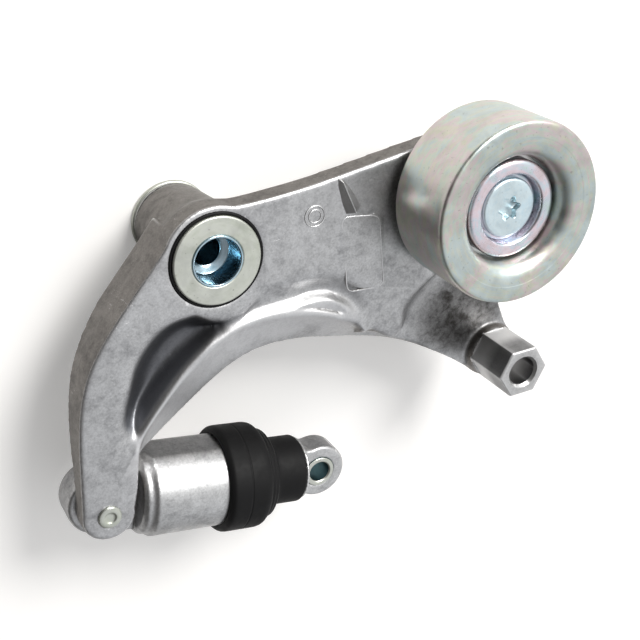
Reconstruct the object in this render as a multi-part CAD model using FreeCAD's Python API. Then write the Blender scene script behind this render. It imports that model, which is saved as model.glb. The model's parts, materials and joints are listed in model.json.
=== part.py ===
import FreeCAD, Part
import math
import os

os.makedirs("parts", exist_ok=True)

# Belt tensioner idler.  Millimetres.  +Z runs along the pivot axis towards the
# front of the pulley; the origin is on that axis, on the face that seats on the
# engine.  The pulley lies on +X from the pivot.

# ---- where the four working axes stand ----
pulley_distance = 98.0
hex_x = 111.5
hex_y = -76.0
pin_x = -52.4
pin_y = -82.6
strut_length = 87.4
strut_angle = -14.5

# ---- pivot sleeve, its washers and bushes ----
sleeve_length = 43.5
sleeve_outer_r = 9.1
bolt_bore_r = 5.1
counterbore_r = 8.1
counterbore_depth = 10.0
washer_thickness = 1.8
front_washer_r = 15.6
rear_washer_r = 14.8
bush_wall = 1.5
bush_length = 15.0
bush_flange_thickness = 1.0
bush_flange_r = 13.2
seal_band_width = 1.15
seal_band_height = 2.3
gasket_width = 0.9
running_clearance = 0.04
thrust_clearance = 0.05
seal_clearance = 0.15

# ---- arm casting ----
face_below_washer = 1.0
plate_thickness = 8.0
deck_thickness = 9.5
edge_draft = 0.8
boss_front_r = 18.8
boss_rear_r = 14.4
pulley_boss_r = 15.0
pulley_boss_rise = 1.5
pulley_end_r = 22.0
ear_r = 9.9
ear_thickness = 7.5
leg_root_depth = 19.0
hex_across_flats = 19.0
hex_turn = -4.0
hex_start_above_deck = 2.5
hex_length = 20.5
hex_hole_r = 5.7
hex_hole_chamfer = 0.9
channel_depth = 9.0
dish_depth = 1.2
groove_depth = 3.4
end_slope = 6.0
pointer_height = 2.0
pad_height = 0.3
rear_rib_width = 6.0
pocket_wall = 4.0
pocket_roof = 3.5

# ---- pulley, its bearing and bolt ----
belt_face_r = 32.5
pulley_width = 29.0
pulley_gap_to_arm = 3.8
rim_wall = 2.5
web_thickness = 2.6
hub_wall = 2.6
opening_lip = 1.3
bearing_bore_r = 8.5
bearing_outer_r = 20.0
bearing_width = 12.0
ball_r = 3.375
ball_count = 8
race_shoulder_gap = 4.7
race_clearance = 0.06
bearing_behind_front = 11.0
seal_thickness = 0.8
spacer_r = 12.0
bolt_r = 5.0
bolt_head_r = 10.7
bolt_head_height = 3.0
bolt_engagement = 18.0
lobe_outer_r = 4.415
lobe_inner_r = 3.17
lobe_depth = 3.6
shield_thickness = 1.2
shield_gap = 1.2
shield_rise = 5.8

# ---- hydraulic strut ----
strut_travel = 10.0
strut_behind_ear = 0.7
upper_eye_r = 12.4
upper_eye_thickness = 13.0
pin_r = 4.0
pin_head_rise = 0.9
eye_bush_wall = 2.0
clip_thickness = 1.0
clip_width = 2.2
body_r = 17.2
body_neck_start = 12.5
body_step = 16.5
body_end = 62.0
body_bore_start = 27.0
body_wall = 3.0
body_neck_drop = 1.3
body_flat_drop = 0.9
pressure_sleeve_length = 17.5
plunger_start = 39.0
plunger_press_depth = 6.0
spring_wire_r = 1.4
spring_turns = 4.5
rod_flange_start = 55.0
rod_flange_thickness = 3.0
snap_ring_thickness = 1.2
snap_ring_gap = 0.3
snap_ring_bite = 0.8
lower_eye_r = 10.8
lower_eye_thickness = 11.0
lower_bush_r = 6.1
lower_bore_r = 4.1
lower_bush_proud = 0.4

# ---- rubber boot ----
boot_start = 44.0
boot_ring_end = 61.0
boot_wall = 2.8
boot_step_end = 64.5
collar_start = 66.5
collar_end = 78.5
collar_stop_length = 1.1

# ---- heights that follow ----
washer_face = sleeve_length
recess_floor = washer_face - washer_thickness - bush_flange_thickness - thrust_clearance
arm_face = washer_face - face_below_washer
plate_back = arm_face - plate_thickness
deck_top = plate_back
deck_back = deck_top - deck_thickness
boss_back = washer_thickness + thrust_clearance + bush_flange_thickness
bush_outer_r = sleeve_outer_r + running_clearance + bush_wall
ear_back = arm_face - ear_thickness
hex_start = deck_top + hex_start_above_deck
hex_end = hex_start + hex_length
pulley_rear = arm_face + pulley_gap_to_arm
pulley_front = pulley_rear + pulley_width
bearing_front = pulley_front - bearing_behind_front
bearing_rear = bearing_front - bearing_width
bearing_middle = (bearing_front + bearing_rear) / 2
ball_pitch_r = (bearing_bore_r + bearing_outer_r) / 2
opening_r = bearing_outer_r - opening_lip
shield_r = opening_r - shield_gap
shield_inner_r = bolt_head_r + 1.4
rear_shield_r = ball_pitch_r + race_shoulder_gap / 2 - 0.3
neck_r = hex_across_flats * 0.568
neck_foot_r = neck_r + 0.6
body_neck_r = body_r - body_neck_drop
body_bore_r = body_r - body_wall
body_flat = body_r - body_flat_drop
spring_mean_r = body_bore_r - 2.8
pressure_sleeve_r = spring_mean_r * 0.7
plunger_r = pressure_sleeve_r * 0.75
plunger_well_r = plunger_r * 0.567
valve_ball_r = plunger_well_r * 0.47
rod_neck_r = body_bore_r - 3.8
collar_r = rod_neck_r + 2.5
collar_stop_r = rod_neck_r + 1.8
rod_flange_r = body_bore_r - 0.6
boot_ring_r = body_r + boot_wall
boot_step_r = body_r + 0.1
pulley_boss_face = arm_face + pulley_boss_rise
bolt_seat = bearing_front + shield_thickness
strut_level = ear_back - strut_behind_ear - upper_eye_thickness / 2

pivot = FreeCAD.Vector(0, 0, 0)
pulley = FreeCAD.Vector(pulley_distance, 0, 0)
hexagon = FreeCAD.Vector(hex_x, hex_y, 0)
pin = FreeCAD.Vector(pin_x, pin_y, 0)
strut_heading = FreeCAD.Vector(math.cos(math.radians(strut_angle)), math.sin(math.radians(strut_angle)), 0)
lower_eye = pin + strut_heading * strut_length


# ---- small helpers ----
def at_height(point, z):
    """The same place in plan, at height z."""
    return FreeCAD.Vector(point.x, point.y, z)


def around(centre, radius, degrees):
    """A point on a circle about centre."""
    angle = math.radians(degrees)
    return centre + FreeCAD.Vector(radius * math.cos(angle), radius * math.sin(angle), 0)


def between(start, end, share, offset):
    """A point part of the way from start to end, set off to the left of that line."""
    along = end - start
    left = FreeCAD.Vector(-along.y, along.x, 0).normalize()
    return start + along * share + left * offset


def disc(centre, radius, low, high):
    """An upright cylinder between two heights."""
    return Part.makeCylinder(radius, high - low, at_height(centre, low))


def tube(centre, inner, outer, low, high):
    """An upright tube between two heights."""
    return disc(centre, outer, low, high).cut(disc(centre, inner, low - 1, high + 1))


def turned(profile, centre=pivot):
    """A solid turned from (radius, height) points about an upright axis at centre."""
    points = [FreeCAD.Vector(radius, 0, height) for radius, height in profile]
    face = Part.Face(Part.makePolygon(points + points[:1]))
    solid = face.revolve(FreeCAD.Vector(0, 0, 0), FreeCAD.Vector(0, 0, 1), 360)
    solid.translate(at_height(centre, 0))
    return solid


def lay_on_strut(solid):
    """Move a solid made about +Z, from 0, onto the strut's axis, from the pin."""
    solid.rotate(FreeCAD.Vector(0, 0, 0), FreeCAD.Vector(0, 1, 0), 90)
    solid.rotate(FreeCAD.Vector(0, 0, 0), FreeCAD.Vector(0, 0, 1), strut_angle)
    solid.translate(at_height(pin, strut_level))
    return solid


def strut_block(start, end, half_width, low, high, centre_offset=0.0):
    """A box along the strut, placed by distances from the pin."""
    block = Part.makeBox(end - start, 2 * half_width, high - low)
    block.translate(FreeCAD.Vector(start, centre_offset - half_width, low))
    block.rotate(FreeCAD.Vector(0, 0, 0), FreeCAD.Vector(0, 0, 1), strut_angle)
    block.translate(at_height(pin, 0))
    return block


def outline(stretches, z):
    """A closed wire at height z: each stretch is a smooth curve through its points."""
    edges = []
    for stretch in stretches:
        points = [at_height(point, z) for point in stretch]
        if len(points) == 2:
            edges.append(Part.LineSegment(*points).toShape())
        elif len(points) == 3:
            edges.append(Part.Arc(*points).toShape())
        else:
            curve = Part.BSplineCurve()
            curve.interpolate(points)
            edges.append(curve.toShape())
    return Part.Wire(edges)


def slab(stretches, low, high):
    """An upright-walled solid with one outline."""
    return Part.Face(outline(stretches, low)).extrude(FreeCAD.Vector(0, 0, high - low))


def tapered(low_stretches, low, high_stretches, high):
    """A solid whose outline changes evenly from one height to another."""
    return Part.makeLoft([outline(low_stretches, low), outline(high_stretches, high)], True, True)


def joined(solids):
    """One solid fused from several that overlap, with its needless seams taken out."""
    return solids[0].multiFuse(solids[1:]).removeSplitter()


def save(name, shape):
    """Write one node, and stop if a solid in it is not sound."""
    for solid in shape.Solids:
        if not solid.isValid() or solid.Volume <= 0:
            raise RuntimeError(name + " has an unsound solid")
    shape.exportStep("parts/" + name + ".step")
    print(f"{name:24s} solids {len(shape.Solids):2d}  volume {shape.Volume:10.1f}")


# ---- arm casting ----
def leg_outer_edge(inset):
    """The outer edge of the leg, from the ear round the elbow to the pivot boss."""
    return [
        around(pin, ear_r - inset / 2, 180),
        between(pin, pivot, 0.234, 21.0 - inset),
        between(pin, pivot, 0.482, 27.7 - inset),
        between(pin, pivot, 0.72, 25.3 - inset),
        around(pivot, boss_front_r - inset, 136),
    ]


def crest_line(shift):
    """The crest above the hollow side, from its right end to the leg, moved towards the pivot by shift."""
    return [
        between(hexagon, pin, 0.385, -40.5 - shift),
        between(hexagon, pin, 0.465, -48.0 - shift),
        between(hexagon, pin, 0.55, -52.3 - shift),
        between(hexagon, pin, 0.64, -53.6 - shift),
        between(hexagon, pin, 0.74, -47.3 - shift),
        between(hexagon, pin, 0.835, -35.6 - shift),
        between(hexagon, pin, 0.885, -27.5 - shift),
    ]


def hollow_edge():
    """The lower edge of the hollow side, below the sloping land."""
    return [
        between(hexagon, pin, 0.385, -30.0),
        between(hexagon, pin, 0.465, -34.5),
        between(hexagon, pin, 0.55, -37.2),
        between(hexagon, pin, 0.64, -36.0),
        between(hexagon, pin, 0.74, -29.0),
        between(hexagon, pin, 0.835, -20.5),
        between(hexagon, pin, 0.885, -16.0),
    ]


def plate_outline(inset, end_inset, hollow, ear_bulge):
    """The front plate: its outer edges pulled in by inset, its wrench end by end_inset."""
    boss_start = around(pivot, boss_front_r - inset, 136)
    boss_end = around(pivot, boss_front_r - inset, 95)
    end_start = around(pulley, pulley_end_r - inset, 108)
    end_stop = around(pulley, pulley_end_r - inset, 10)
    shoulder = between(hexagon, pin, 0.22, -32.0) + FreeCAD.Vector(-end_inset, end_inset * 0.5, 0)
    foot = between(hexagon, pin, 0.265, -24.5) + FreeCAD.Vector(-end_inset, end_inset * 0.3, 0)
    ear_right = around(pin, ear_r - inset / 2, 0)
    return [
        leg_outer_edge(inset),
        [boss_start, around(pivot, boss_front_r - inset, 115), boss_end],
        [
            boss_end,
            between(pivot, pulley, 0.2, 16.9 - inset),
            between(pivot, pulley, 0.48, 17.8 - inset),
            between(pivot, pulley, 0.73, 19.7 - inset),
            end_start,
        ],
        [end_start, around(pulley, pulley_end_r - inset, 60), end_stop],
        [
            end_stop,
            around(pulley, pulley_end_r - inset, -40),
            between(hexagon, pin, 0.165, -39.0) + FreeCAD.Vector(-end_inset, end_inset * 0.5, 0),
            shoulder,
        ],
        [shoulder, between(hexagon, pin, 0.237, -26.0) + FreeCAD.Vector(-end_inset, 0, 0), foot],
        [foot, between(hexagon, pin, 0.32, -28.3 - end_inset * 0.4)] + hollow,
        [hollow[-1], between(hexagon, pin, 0.92, ear_bulge), around(pin, ear_r * 1.2, 20.8), ear_right],
        [ear_right, around(pin, ear_r - inset / 2, -90), around(pin, ear_r - inset / 2, 180)],
    ]


def deck_outline(inset):
    """The lower deck behind the plate, which carries the pulley boss and the wrench boss."""
    neck_r = neck_foot_r - inset
    top_start = between(pivot, pulley, 0.2, 7.0 - inset)
    top_end = around(pulley, pulley_boss_r - inset, 100)
    boss_end = around(pulley, pulley_boss_r - inset, 20)
    neck_start = around(hexagon, neck_r, 40)
    neck_end = around(hexagon, neck_r, -125)
    low_end = between(hexagon, pin, 0.55, -38.5 - inset)
    return [
        [top_start, between(pivot, pulley, 0.5, 7.0 - inset), between(pivot, pulley, 0.75, 9.0 - inset), top_end],
        [top_end, around(pulley, pulley_boss_r - inset, 60), boss_end],
        [
            boss_end,
            around(pulley, pulley_end_r - inset, -25),
            between(pulley, hexagon, 0.45, 8.5 - inset),
            between(pulley, hexagon, 0.7, 8.0 - inset),
            neck_start,
        ],
        [neck_start, around(hexagon, neck_r, -45), neck_end],
        [
            neck_end,
            between(hexagon, pin, 0.2, -14.0 - inset),
            between(hexagon, pin, 0.32, -25.5 - inset),
            between(hexagon, pin, 0.44, -33.5 - inset),
            low_end,
        ],
        [low_end, top_start],
    ]


def leg_outline(inset):
    """The deep part of the arm, from the pivot boss down to the ear."""
    outer = leg_outer_edge(inset)
    boss_turn = around(pivot, boss_front_r - inset, -30)
    inner_end = between(hexagon, pin, 0.86, -21.0 - inset)
    ear_middle = around(pin, ear_r * 0.7, 45)
    return [
        outer,
        [outer[-1], boss_turn],
        [
            boss_turn,
            between(hexagon, pin, 0.66, -38.0 - inset),
            between(hexagon, pin, 0.77, -29.5 - inset),
            inner_end,
        ],
        [inner_end, ear_middle],
        [ear_middle, outer[0]],
    ]


def leg_body():
    """The leg, deep at the pivot and as thin as the ear at the pin."""
    floor = arm_face - leg_root_depth
    body = slab(leg_outline(0), floor, plate_back + 1)
    reach = (pivot - pin).Length
    heading = math.degrees(math.atan2(-pin.y, -pin.x))
    thin_at = reach * 0.1
    deep_at = reach * 0.7
    side = [
        FreeCAD.Vector(-40, 0, floor - 5),
        FreeCAD.Vector(deep_at, 0, floor - 5),
        FreeCAD.Vector(deep_at, 0, floor),
        FreeCAD.Vector(thin_at, 0, ear_back),
        FreeCAD.Vector(-40, 0, ear_back),
    ]
    wedge = Part.Face(Part.makePolygon(side + side[:1])).extrude(FreeCAD.Vector(0, 160, 0))
    wedge.translate(FreeCAD.Vector(0, -80, 0))
    wedge.rotate(FreeCAD.Vector(0, 0, 0), FreeCAD.Vector(0, 0, 1), heading)
    wedge.translate(pin)
    return body.cut(wedge)


def rib(start, end, width, low, high):
    """A straight wall between two places in plan."""
    half = width / 2
    corners = [
        between(start, end, 0, half),
        between(start, end, 1, half),
        between(start, end, 1, -half),
        between(start, end, 0, -half),
    ]
    loop = corners + corners[:1]
    return slab([list(pair) for pair in zip(loop, loop[1:])], low, high)


def channel():
    """The deep channel down the leg, running out in a ramp towards the ear."""
    mouth_foot = between(pin, pivot, 0.3, 1.2)
    mouth_head = between(pin, pivot, 0.81, 2.0)
    mouth_corner = between(pin, pivot, 0.785, -13.6)
    bed_foot = between(pin, pivot, 0.43, 3.5)
    bed_head = between(pin, pivot, 0.765, 1.0)
    bed_corner = between(pin, pivot, 0.75, -11.0)
    mouth = [
        [
            mouth_foot,
            between(pin, pivot, 0.34, 6.0),
            between(pin, pivot, 0.436, 9.7),
            between(pin, pivot, 0.575, 11.0),
            between(pin, pivot, 0.725, 7.6),
            mouth_head,
        ],
        [mouth_head, between(pin, pivot, 0.793, -6.0), mouth_corner],
        [
            mouth_corner,
            between(pin, pivot, 0.692, -10.2),
            between(pin, pivot, 0.59, -6.4),
            between(pin, pivot, 0.459, -1.4),
            mouth_foot,
        ],
    ]
    bed = [
        [
            bed_foot,
            between(pin, pivot, 0.455, 4.6),
            between(pin, pivot, 0.5, 5.6),
            between(pin, pivot, 0.6, 6.0),
            between(pin, pivot, 0.7, 4.2),
            bed_head,
        ],
        [bed_head, between(pin, pivot, 0.76, -5.0), bed_corner],
        [
            bed_corner,
            between(pin, pivot, 0.68, -7.2),
            between(pin, pivot, 0.59, -3.0),
            between(pin, pivot, 0.5, 0.9),
            bed_foot,
        ],
    ]
    return tapered(bed, arm_face - channel_depth, mouth, arm_face + 0.4)


def dish():
    """The gentle hollow in the face between the pivot boss and the crest."""
    low = crest_line(0.8)
    tip = between(hexagon, pin, 0.405, -46.0)
    far_tip = between(hexagon, pin, 0.615, -56.0)
    mouth = [
        [low[0], between(hexagon, pin, 0.42, -56.5), between(hexagon, pin, 0.5, -62.0), low[3]],
        [low[3], low[2], low[1], low[0]],
    ]
    bed = [
        [tip, between(hexagon, pin, 0.43, -53.5), between(hexagon, pin, 0.5, -58.0), far_tip],
        [far_tip, between(hexagon, pin, 0.55, -54.8), between(hexagon, pin, 0.465, -50.5), tip],
    ]
    return tapered(bed, arm_face - dish_depth, mouth, arm_face + 0.2)


def groove():
    """The steeper groove behind the right part of the crest."""
    low = crest_line(1.0)
    mouth_tip = between(hexagon, pin, 0.525, -53.8)
    tip = between(hexagon, pin, 0.398, -45.2)
    far_tip = between(hexagon, pin, 0.495, -53.0)
    mouth = [
        [low[0], between(hexagon, pin, 0.41, -51.0), between(hexagon, pin, 0.46, -56.3), mouth_tip],
        [mouth_tip, between(hexagon, pin, 0.465, -49.2), low[0]],
    ]
    bed = [
        [tip, between(hexagon, pin, 0.418, -49.6), between(hexagon, pin, 0.458, -53.6), far_tip],
        [far_tip, between(hexagon, pin, 0.452, -50.3), tip],
    ]
    return tapered(bed, arm_face - groove_depth, mouth, arm_face + 0.3)


def back_pockets():
    """Cored pockets in the back, which leave walls and the two ribs standing."""
    leg_top = arm_face - channel_depth - pocket_roof
    leg_inset = pocket_wall
    leg = slab([
        [between(pin, pivot, 0.36, 18.5 - leg_inset), between(pin, pivot, 0.5, 25.0 - leg_inset),
         between(pin, pivot, 0.7, 23.5 - leg_inset), between(pin, pivot, 0.84, 20.0 - leg_inset)],
        [between(pin, pivot, 0.84, 20.0 - leg_inset), between(pin, pivot, 0.76, 0.0)],
        [between(pin, pivot, 0.76, 0.0), between(pin, pivot, 0.36, 1.5)],
        [between(pin, pivot, 0.36, 1.5), between(pin, pivot, 0.36, 18.5 - leg_inset)],
    ], arm_face - leg_root_depth - 1, leg_top)
    leg_side = slab([
        [between(pin, pivot, 0.36, -2.0), between(pin, pivot, 0.755, -4.0)],
        [between(pin, pivot, 0.755, -4.0), between(pin, pivot, 0.735, -23.0)],
        [between(pin, pivot, 0.735, -23.0), between(pin, pivot, 0.36, -7.0)],
        [between(pin, pivot, 0.36, -7.0), between(pin, pivot, 0.36, -2.0)],
    ], arm_face - leg_root_depth - 1, leg_top)
    deck_floor = deck_top - 2.0
    deck = slab(deck_outline(pocket_wall), deck_back - 1, deck_floor)
    keep = [
        rib(pivot, pulley, rear_rib_width, deck_back - 2, deck_floor + 1),
        rib(pivot, hexagon, rear_rib_width, deck_back - 2, deck_floor + 1),
        rib(pulley, hexagon, rear_rib_width, deck_back - 2, deck_floor + 1),
        disc(pulley, pulley_boss_r, deck_back - 2, deck_floor + 1),
        disc(hexagon, neck_foot_r + 1, deck_back - 2, deck_floor + 1),
        disc(pivot, boss_front_r + pocket_wall, deck_back - 2, deck_floor + 1),
    ]
    for solid in keep:
        deck = deck.cut(solid)
    return [leg, leg_side, deck]


def pointer():
    """The raised three-sided pointer on the face of the arm."""
    tip = between(pivot, pulley, 0.47, 15.5)
    left = between(pivot, pulley, 0.487, 3.2)
    right = between(pivot, pulley, 0.553, 5.1)
    ridge = between(pivot, pulley, 0.53, 3.4)
    base = [at_height(point, arm_face - 0.5) for point in (tip, left, right)]
    peak = at_height(ridge, arm_face + pointer_height)
    sides = [(base[0], base[1], peak), (base[1], base[2], peak), (base[2], base[0], peak), tuple(base)]
    faces = [Part.Face(Part.makePolygon(list(side) + [side[0]])) for side in sides]
    solid = Part.makeSolid(Part.makeShell(faces))
    if solid.Volume < 0:
        solid.reverse()
    return solid


def part_pad():
    """The plain raised pad where a part label would be cast."""
    corners = [
        between(pivot, pulley, 0.475, 2.5),
        between(pivot, pulley, 0.637, -1.8),
        between(pivot, pulley, 0.615, -30.5),
        between(pivot, pulley, 0.45, -25.5),
    ]
    loop = corners + corners[:1]
    return slab([list(pair) for pair in zip(loop, loop[1:])], arm_face - 0.5, arm_face + pad_height)


def hex_boss():
    """The tapered neck and the hexagon that takes the wrench."""
    neck = turned(
        [(0, deck_back), (neck_foot_r, deck_back), (neck_foot_r, deck_top), (neck_r, hex_start - 0.5),
         (neck_r, hex_start + 0.6), (neck_r - 1.2, hex_start + 1.4), (0, hex_start + 1.4)],
        hexagon,
    )
    corner_r = hex_across_flats / math.sqrt(3)
    corners = [around(hexagon, corner_r, hex_turn + 60 * side) for side in range(7)]
    prism = slab([list(pair) for pair in zip(corners, corners[1:])], hex_start, hex_end)
    return joined([neck, prism.common(disc(hexagon, corner_r - 0.35, hex_start, hex_end))])


def arm_casting():
    plate = tapered(
        plate_outline(0, 0, hollow_edge(), -8.5), plate_back,
        plate_outline(edge_draft, end_slope, crest_line(0), -10.5), arm_face,
    )
    deck = slab(deck_outline(0), deck_back, deck_top)
    boss = turned([(0, boss_back), (boss_rear_r, boss_back), (boss_rear_r + 1.8, plate_back - 7),
                   (boss_front_r, plate_back), (boss_front_r, arm_face), (0, arm_face)])
    casting = joined([plate, deck, leg_body()])
    strut_room = disc(pin, upper_eye_r * 1.5, ear_back - leg_root_depth, ear_back)
    for cut in [channel(), dish(), groove(), strut_room] + back_pockets():
        casting = casting.cut(cut)
    casting = joined([
        casting,
        boss,
        disc(pulley, pulley_boss_r, deck_back, pulley_boss_face),
        hex_boss(),
        pointer(),
        part_pad(),
    ])
    bores = [
        disc(pivot, bush_outer_r, 0, washer_face + 1),
        disc(pivot, front_washer_r + seal_clearance + seal_band_width, recess_floor, washer_face + 1),
        disc(pulley, bolt_r, pulley_boss_face - bolt_engagement, pulley_boss_face + 1),
        disc(hexagon, hex_hole_r, deck_back - 1, hex_end + 1),
        turned([(0, hex_end - hex_hole_chamfer), (hex_hole_r, hex_end - hex_hole_chamfer),
                (hex_hole_r + hex_hole_chamfer + 0.1, hex_end + 0.1), (0, hex_end + 0.1)], hexagon),
        disc(pin, pin_r, ear_back - 1, arm_face + 1),
    ]
    for bore in bores:
        casting = casting.cut(bore)
    return casting


# ---- pivot pieces ----
def pivot_sleeve():
    top = washer_face + 0.2
    floor = top - counterbore_depth
    return turned([(bolt_bore_r, 0.5), (bolt_bore_r + 0.5, 0), (sleeve_outer_r, 0), (sleeve_outer_r, top - 0.3),
                   (sleeve_outer_r - 0.3, top), (counterbore_r + 0.3, top), (counterbore_r, top - 0.3),
                   (counterbore_r, floor), (bolt_bore_r, floor)])


def thrust_washer(radius, low):
    high = low + washer_thickness
    edge = 0.25
    return turned([(sleeve_outer_r, low), (radius - edge, low), (radius, low + edge), (radius, high - edge),
                   (radius - edge, high), (sleeve_outer_r, high)])


def flanged_bush(inner_end, flange_inner, flange_outer):
    """A plain bush whose flange stands between flange_inner and flange_outer."""
    inner_r = sleeve_outer_r + running_clearance
    return turned([(inner_r, inner_end), (bush_outer_r, inner_end), (bush_outer_r, flange_inner),
                   (bush_flange_r, flange_inner), (bush_flange_r, flange_outer), (inner_r, flange_outer)])


# ---- pulley pieces ----
def pulley_shell():
    seat = bearing_outer_r
    hub = seat + hub_wall
    rim_inner = belt_face_r - rim_wall
    web_back = pulley_front - web_thickness
    lip = 0.8
    return turned([
        (rim_inner, pulley_rear), (belt_face_r - 1.0, pulley_rear), (belt_face_r, pulley_rear + 1.0),
        (belt_face_r, pulley_front - 1.2), (belt_face_r - 0.35, pulley_front - 0.35),
        (belt_face_r - 1.2, pulley_front), (28.0, pulley_front), (24.6, pulley_front - 0.9),
        (22.6, pulley_front - 1.2), (20.6, pulley_front - 2.1), (19.3, pulley_front - 3.8),
        (opening_r, pulley_front - 6.2), (opening_r, bearing_front), (seat, bearing_front),
        (seat, bearing_rear), (seat - lip, bearing_rear), (seat - lip, bearing_rear - lip),
        (hub - 0.6, bearing_rear - lip), (hub, bearing_rear - lip + 0.6), (hub, web_back - 2.0),
        (hub + 2.0, web_back), (rim_inner - 1.5, web_back), (rim_inner, web_back - 1.5),
    ], pulley)


def race(inner, outer):
    """One bearing ring, with the ball groove turned in it."""
    ring = tube(pulley, inner, outer, bearing_rear, bearing_front)
    groove = Part.makeTorus(ball_pitch_r, ball_r + race_clearance, at_height(pulley, bearing_middle))
    return ring.cut(groove)


def ball_place(index):
    return at_height(around(pulley, ball_pitch_r, 360 * index / ball_count), bearing_middle)


def bearing_balls():
    return Part.makeCompound([Part.makeSphere(ball_r, ball_place(index)) for index in range(ball_count)])


def bearing_cage():
    half_height = ball_r + 0.9
    half_wall = 0.9
    cage = tube(pulley, ball_pitch_r - half_wall, ball_pitch_r + half_wall,
                bearing_middle - half_height, bearing_middle + half_height)
    for index in range(ball_count):
        pocket = Part.makeCylinder(ball_r + race_clearance, 8, FreeCAD.Vector(0, 0, 0), FreeCAD.Vector(1, 0, 0))
        pocket.translate(FreeCAD.Vector(ball_pitch_r - 4, 0, 0))
        pocket.rotate(FreeCAD.Vector(0, 0, 0), FreeCAD.Vector(0, 0, 1), 360 * index / ball_count)
        pocket.translate(at_height(pulley, bearing_middle))
        cage = cage.cut(pocket)
    return cage


def bearing_seal(low):
    inner = ball_pitch_r - race_shoulder_gap / 2 + seal_clearance
    outer = ball_pitch_r + race_shoulder_gap / 2
    return tube(pulley, inner, outer, low, low + seal_thickness)


def front_dust_shield():
    """A pressed cup: its floor is clamped by the bolt head and its crown stands in front."""
    floor = bearing_front
    crown = floor + shield_rise
    wall = shield_thickness
    inner = shield_inner_r
    return turned([
        (bolt_r + 0.1, floor), (inner - 0.4, floor), (inner + wall - 0.3, floor + wall),
        (inner + wall - 0.1, crown - wall), (shield_r - wall - 0.5, crown - wall),
        (shield_r - wall, crown - wall - 0.6), (shield_r - wall, floor + 1.6), (shield_r, floor + 1.6),
        (shield_r, crown - 1.4), (shield_r - 0.3, crown - 0.7), (shield_r - 1.2, crown), (inner + 0.8, crown),
        (inner + 0.1, crown - 0.8), (inner - 0.2, floor + wall + 0.3), (inner - 0.6, floor + wall),
        (bolt_r + 0.1, floor + wall),
    ], pulley)


def pulley_spacer():
    return turned([(bolt_r + 0.1, pulley_boss_face), (spacer_r, pulley_boss_face), (spacer_r, bearing_rear - 1.0),
                   (bearing_bore_r, bearing_rear - 1.0), (bearing_bore_r, bearing_front),
                   (bolt_r + 0.1, bearing_front)], pulley)


def pulley_bolt():
    shank_end = pulley_boss_face - bolt_engagement + 1.5
    head_top = bolt_seat + bolt_head_height
    body = turned([(0, shank_end), (bolt_r - 1.0, shank_end), (bolt_r, shank_end + 1.0), (bolt_r, bolt_seat),
                   (bolt_head_r - 0.3, bolt_seat), (bolt_head_r, bolt_seat + 0.3),
                   (bolt_head_r, head_top - 0.8), (bolt_head_r - 0.8, head_top - 0.1),
                   (bolt_head_r - 1.4, head_top), (0, head_top)], pulley)
    middle = (lobe_outer_r + lobe_inner_r) / 2
    swing = (lobe_outer_r - lobe_inner_r) / 2
    steps = 36
    points = [around(pulley, middle + swing * math.cos(math.radians(6 * 360 * step / steps)), 360 * step / steps)
              for step in range(steps)]
    curve = Part.BSplineCurve()
    curve.interpolate([at_height(point, head_top - lobe_depth) for point in points], PeriodicFlag=True)
    socket = Part.Face(Part.Wire(curve.toShape())).extrude(FreeCAD.Vector(0, 0, lobe_depth + 1))
    return body.cut(socket)


# ---- strut pieces ----
def strut_body():
    eye_low = strut_level - upper_eye_thickness / 2
    eye_high = strut_level + upper_eye_thickness / 2
    barrel = lay_on_strut(turned([
        (0, body_neck_start), (body_neck_r - 1.5, body_neck_start), (body_neck_r, body_neck_start + 1.5),
        (body_neck_r, body_step - 1.0), (body_r - 0.8, body_step), (body_r, body_step + 0.8),
        (body_r, body_end - 0.8), (body_r - 0.8, body_end), (body_bore_r, body_end),
        (body_bore_r, body_bore_start), (0, body_bore_start)]))
    flat = strut_block(body_step - 8, body_end + 1, 10, strut_level - 20, strut_level + 20, body_flat + 10)
    eye = turned([(0, eye_low), (upper_eye_r - 1.0, eye_low), (upper_eye_r, eye_low + 1.0),
                  (upper_eye_r, eye_high - 1.0), (upper_eye_r - 1.0, eye_high), (0, eye_high)], pin)
    link = strut_block(0, body_neck_start + 1, upper_eye_r, eye_low, eye_high)
    body = joined([barrel.cut(flat), eye, link])
    groove_low = rod_flange_start + rod_flange_thickness + snap_ring_gap
    groove = lay_on_strut(disc(pivot, body_bore_r + snap_ring_bite, groove_low, groove_low + snap_ring_thickness))
    body = body.cut(disc(pin, pin_r + running_clearance + eye_bush_wall, eye_low - 1, eye_high + 1))
    return body.cut(groove)


def snap_ring():
    low = rod_flange_start + rod_flange_thickness + snap_ring_gap
    ring = tube(pivot, body_bore_r - 1.8, body_bore_r + snap_ring_bite, low, low + snap_ring_thickness)
    mouth = Part.makeBox(body_bore_r * 2, 7, snap_ring_thickness + 2, FreeCAD.Vector(0, -3.5, low - 1))
    return lay_on_strut(ring.cut(mouth))


def guide_ring():
    low = rod_flange_start + rod_flange_thickness + snap_ring_gap + snap_ring_thickness + 0.1
    return lay_on_strut(tube(pivot, rod_neck_r + running_clearance, body_bore_r, low, body_end))


def strut_pin():
    """Pressed in the ear with a peened head; the eye turns on it."""
    head = arm_face + pin_head_rise
    end = strut_level - upper_eye_thickness / 2 - clip_thickness - 0.3 - 1.2
    groove = end + 1.2
    return turned([(0, end), (pin_r - 0.5, end), (pin_r, end + 0.5), (pin_r, groove), (pin_r - 0.7, groove),
                   (pin_r - 0.7, groove + clip_thickness), (pin_r, groove + clip_thickness), (pin_r, head - 0.4),
                   (pin_r - 0.5, head), (1.5, head), (0.9, head - 0.5), (0, head - 0.5)], pin)


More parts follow.
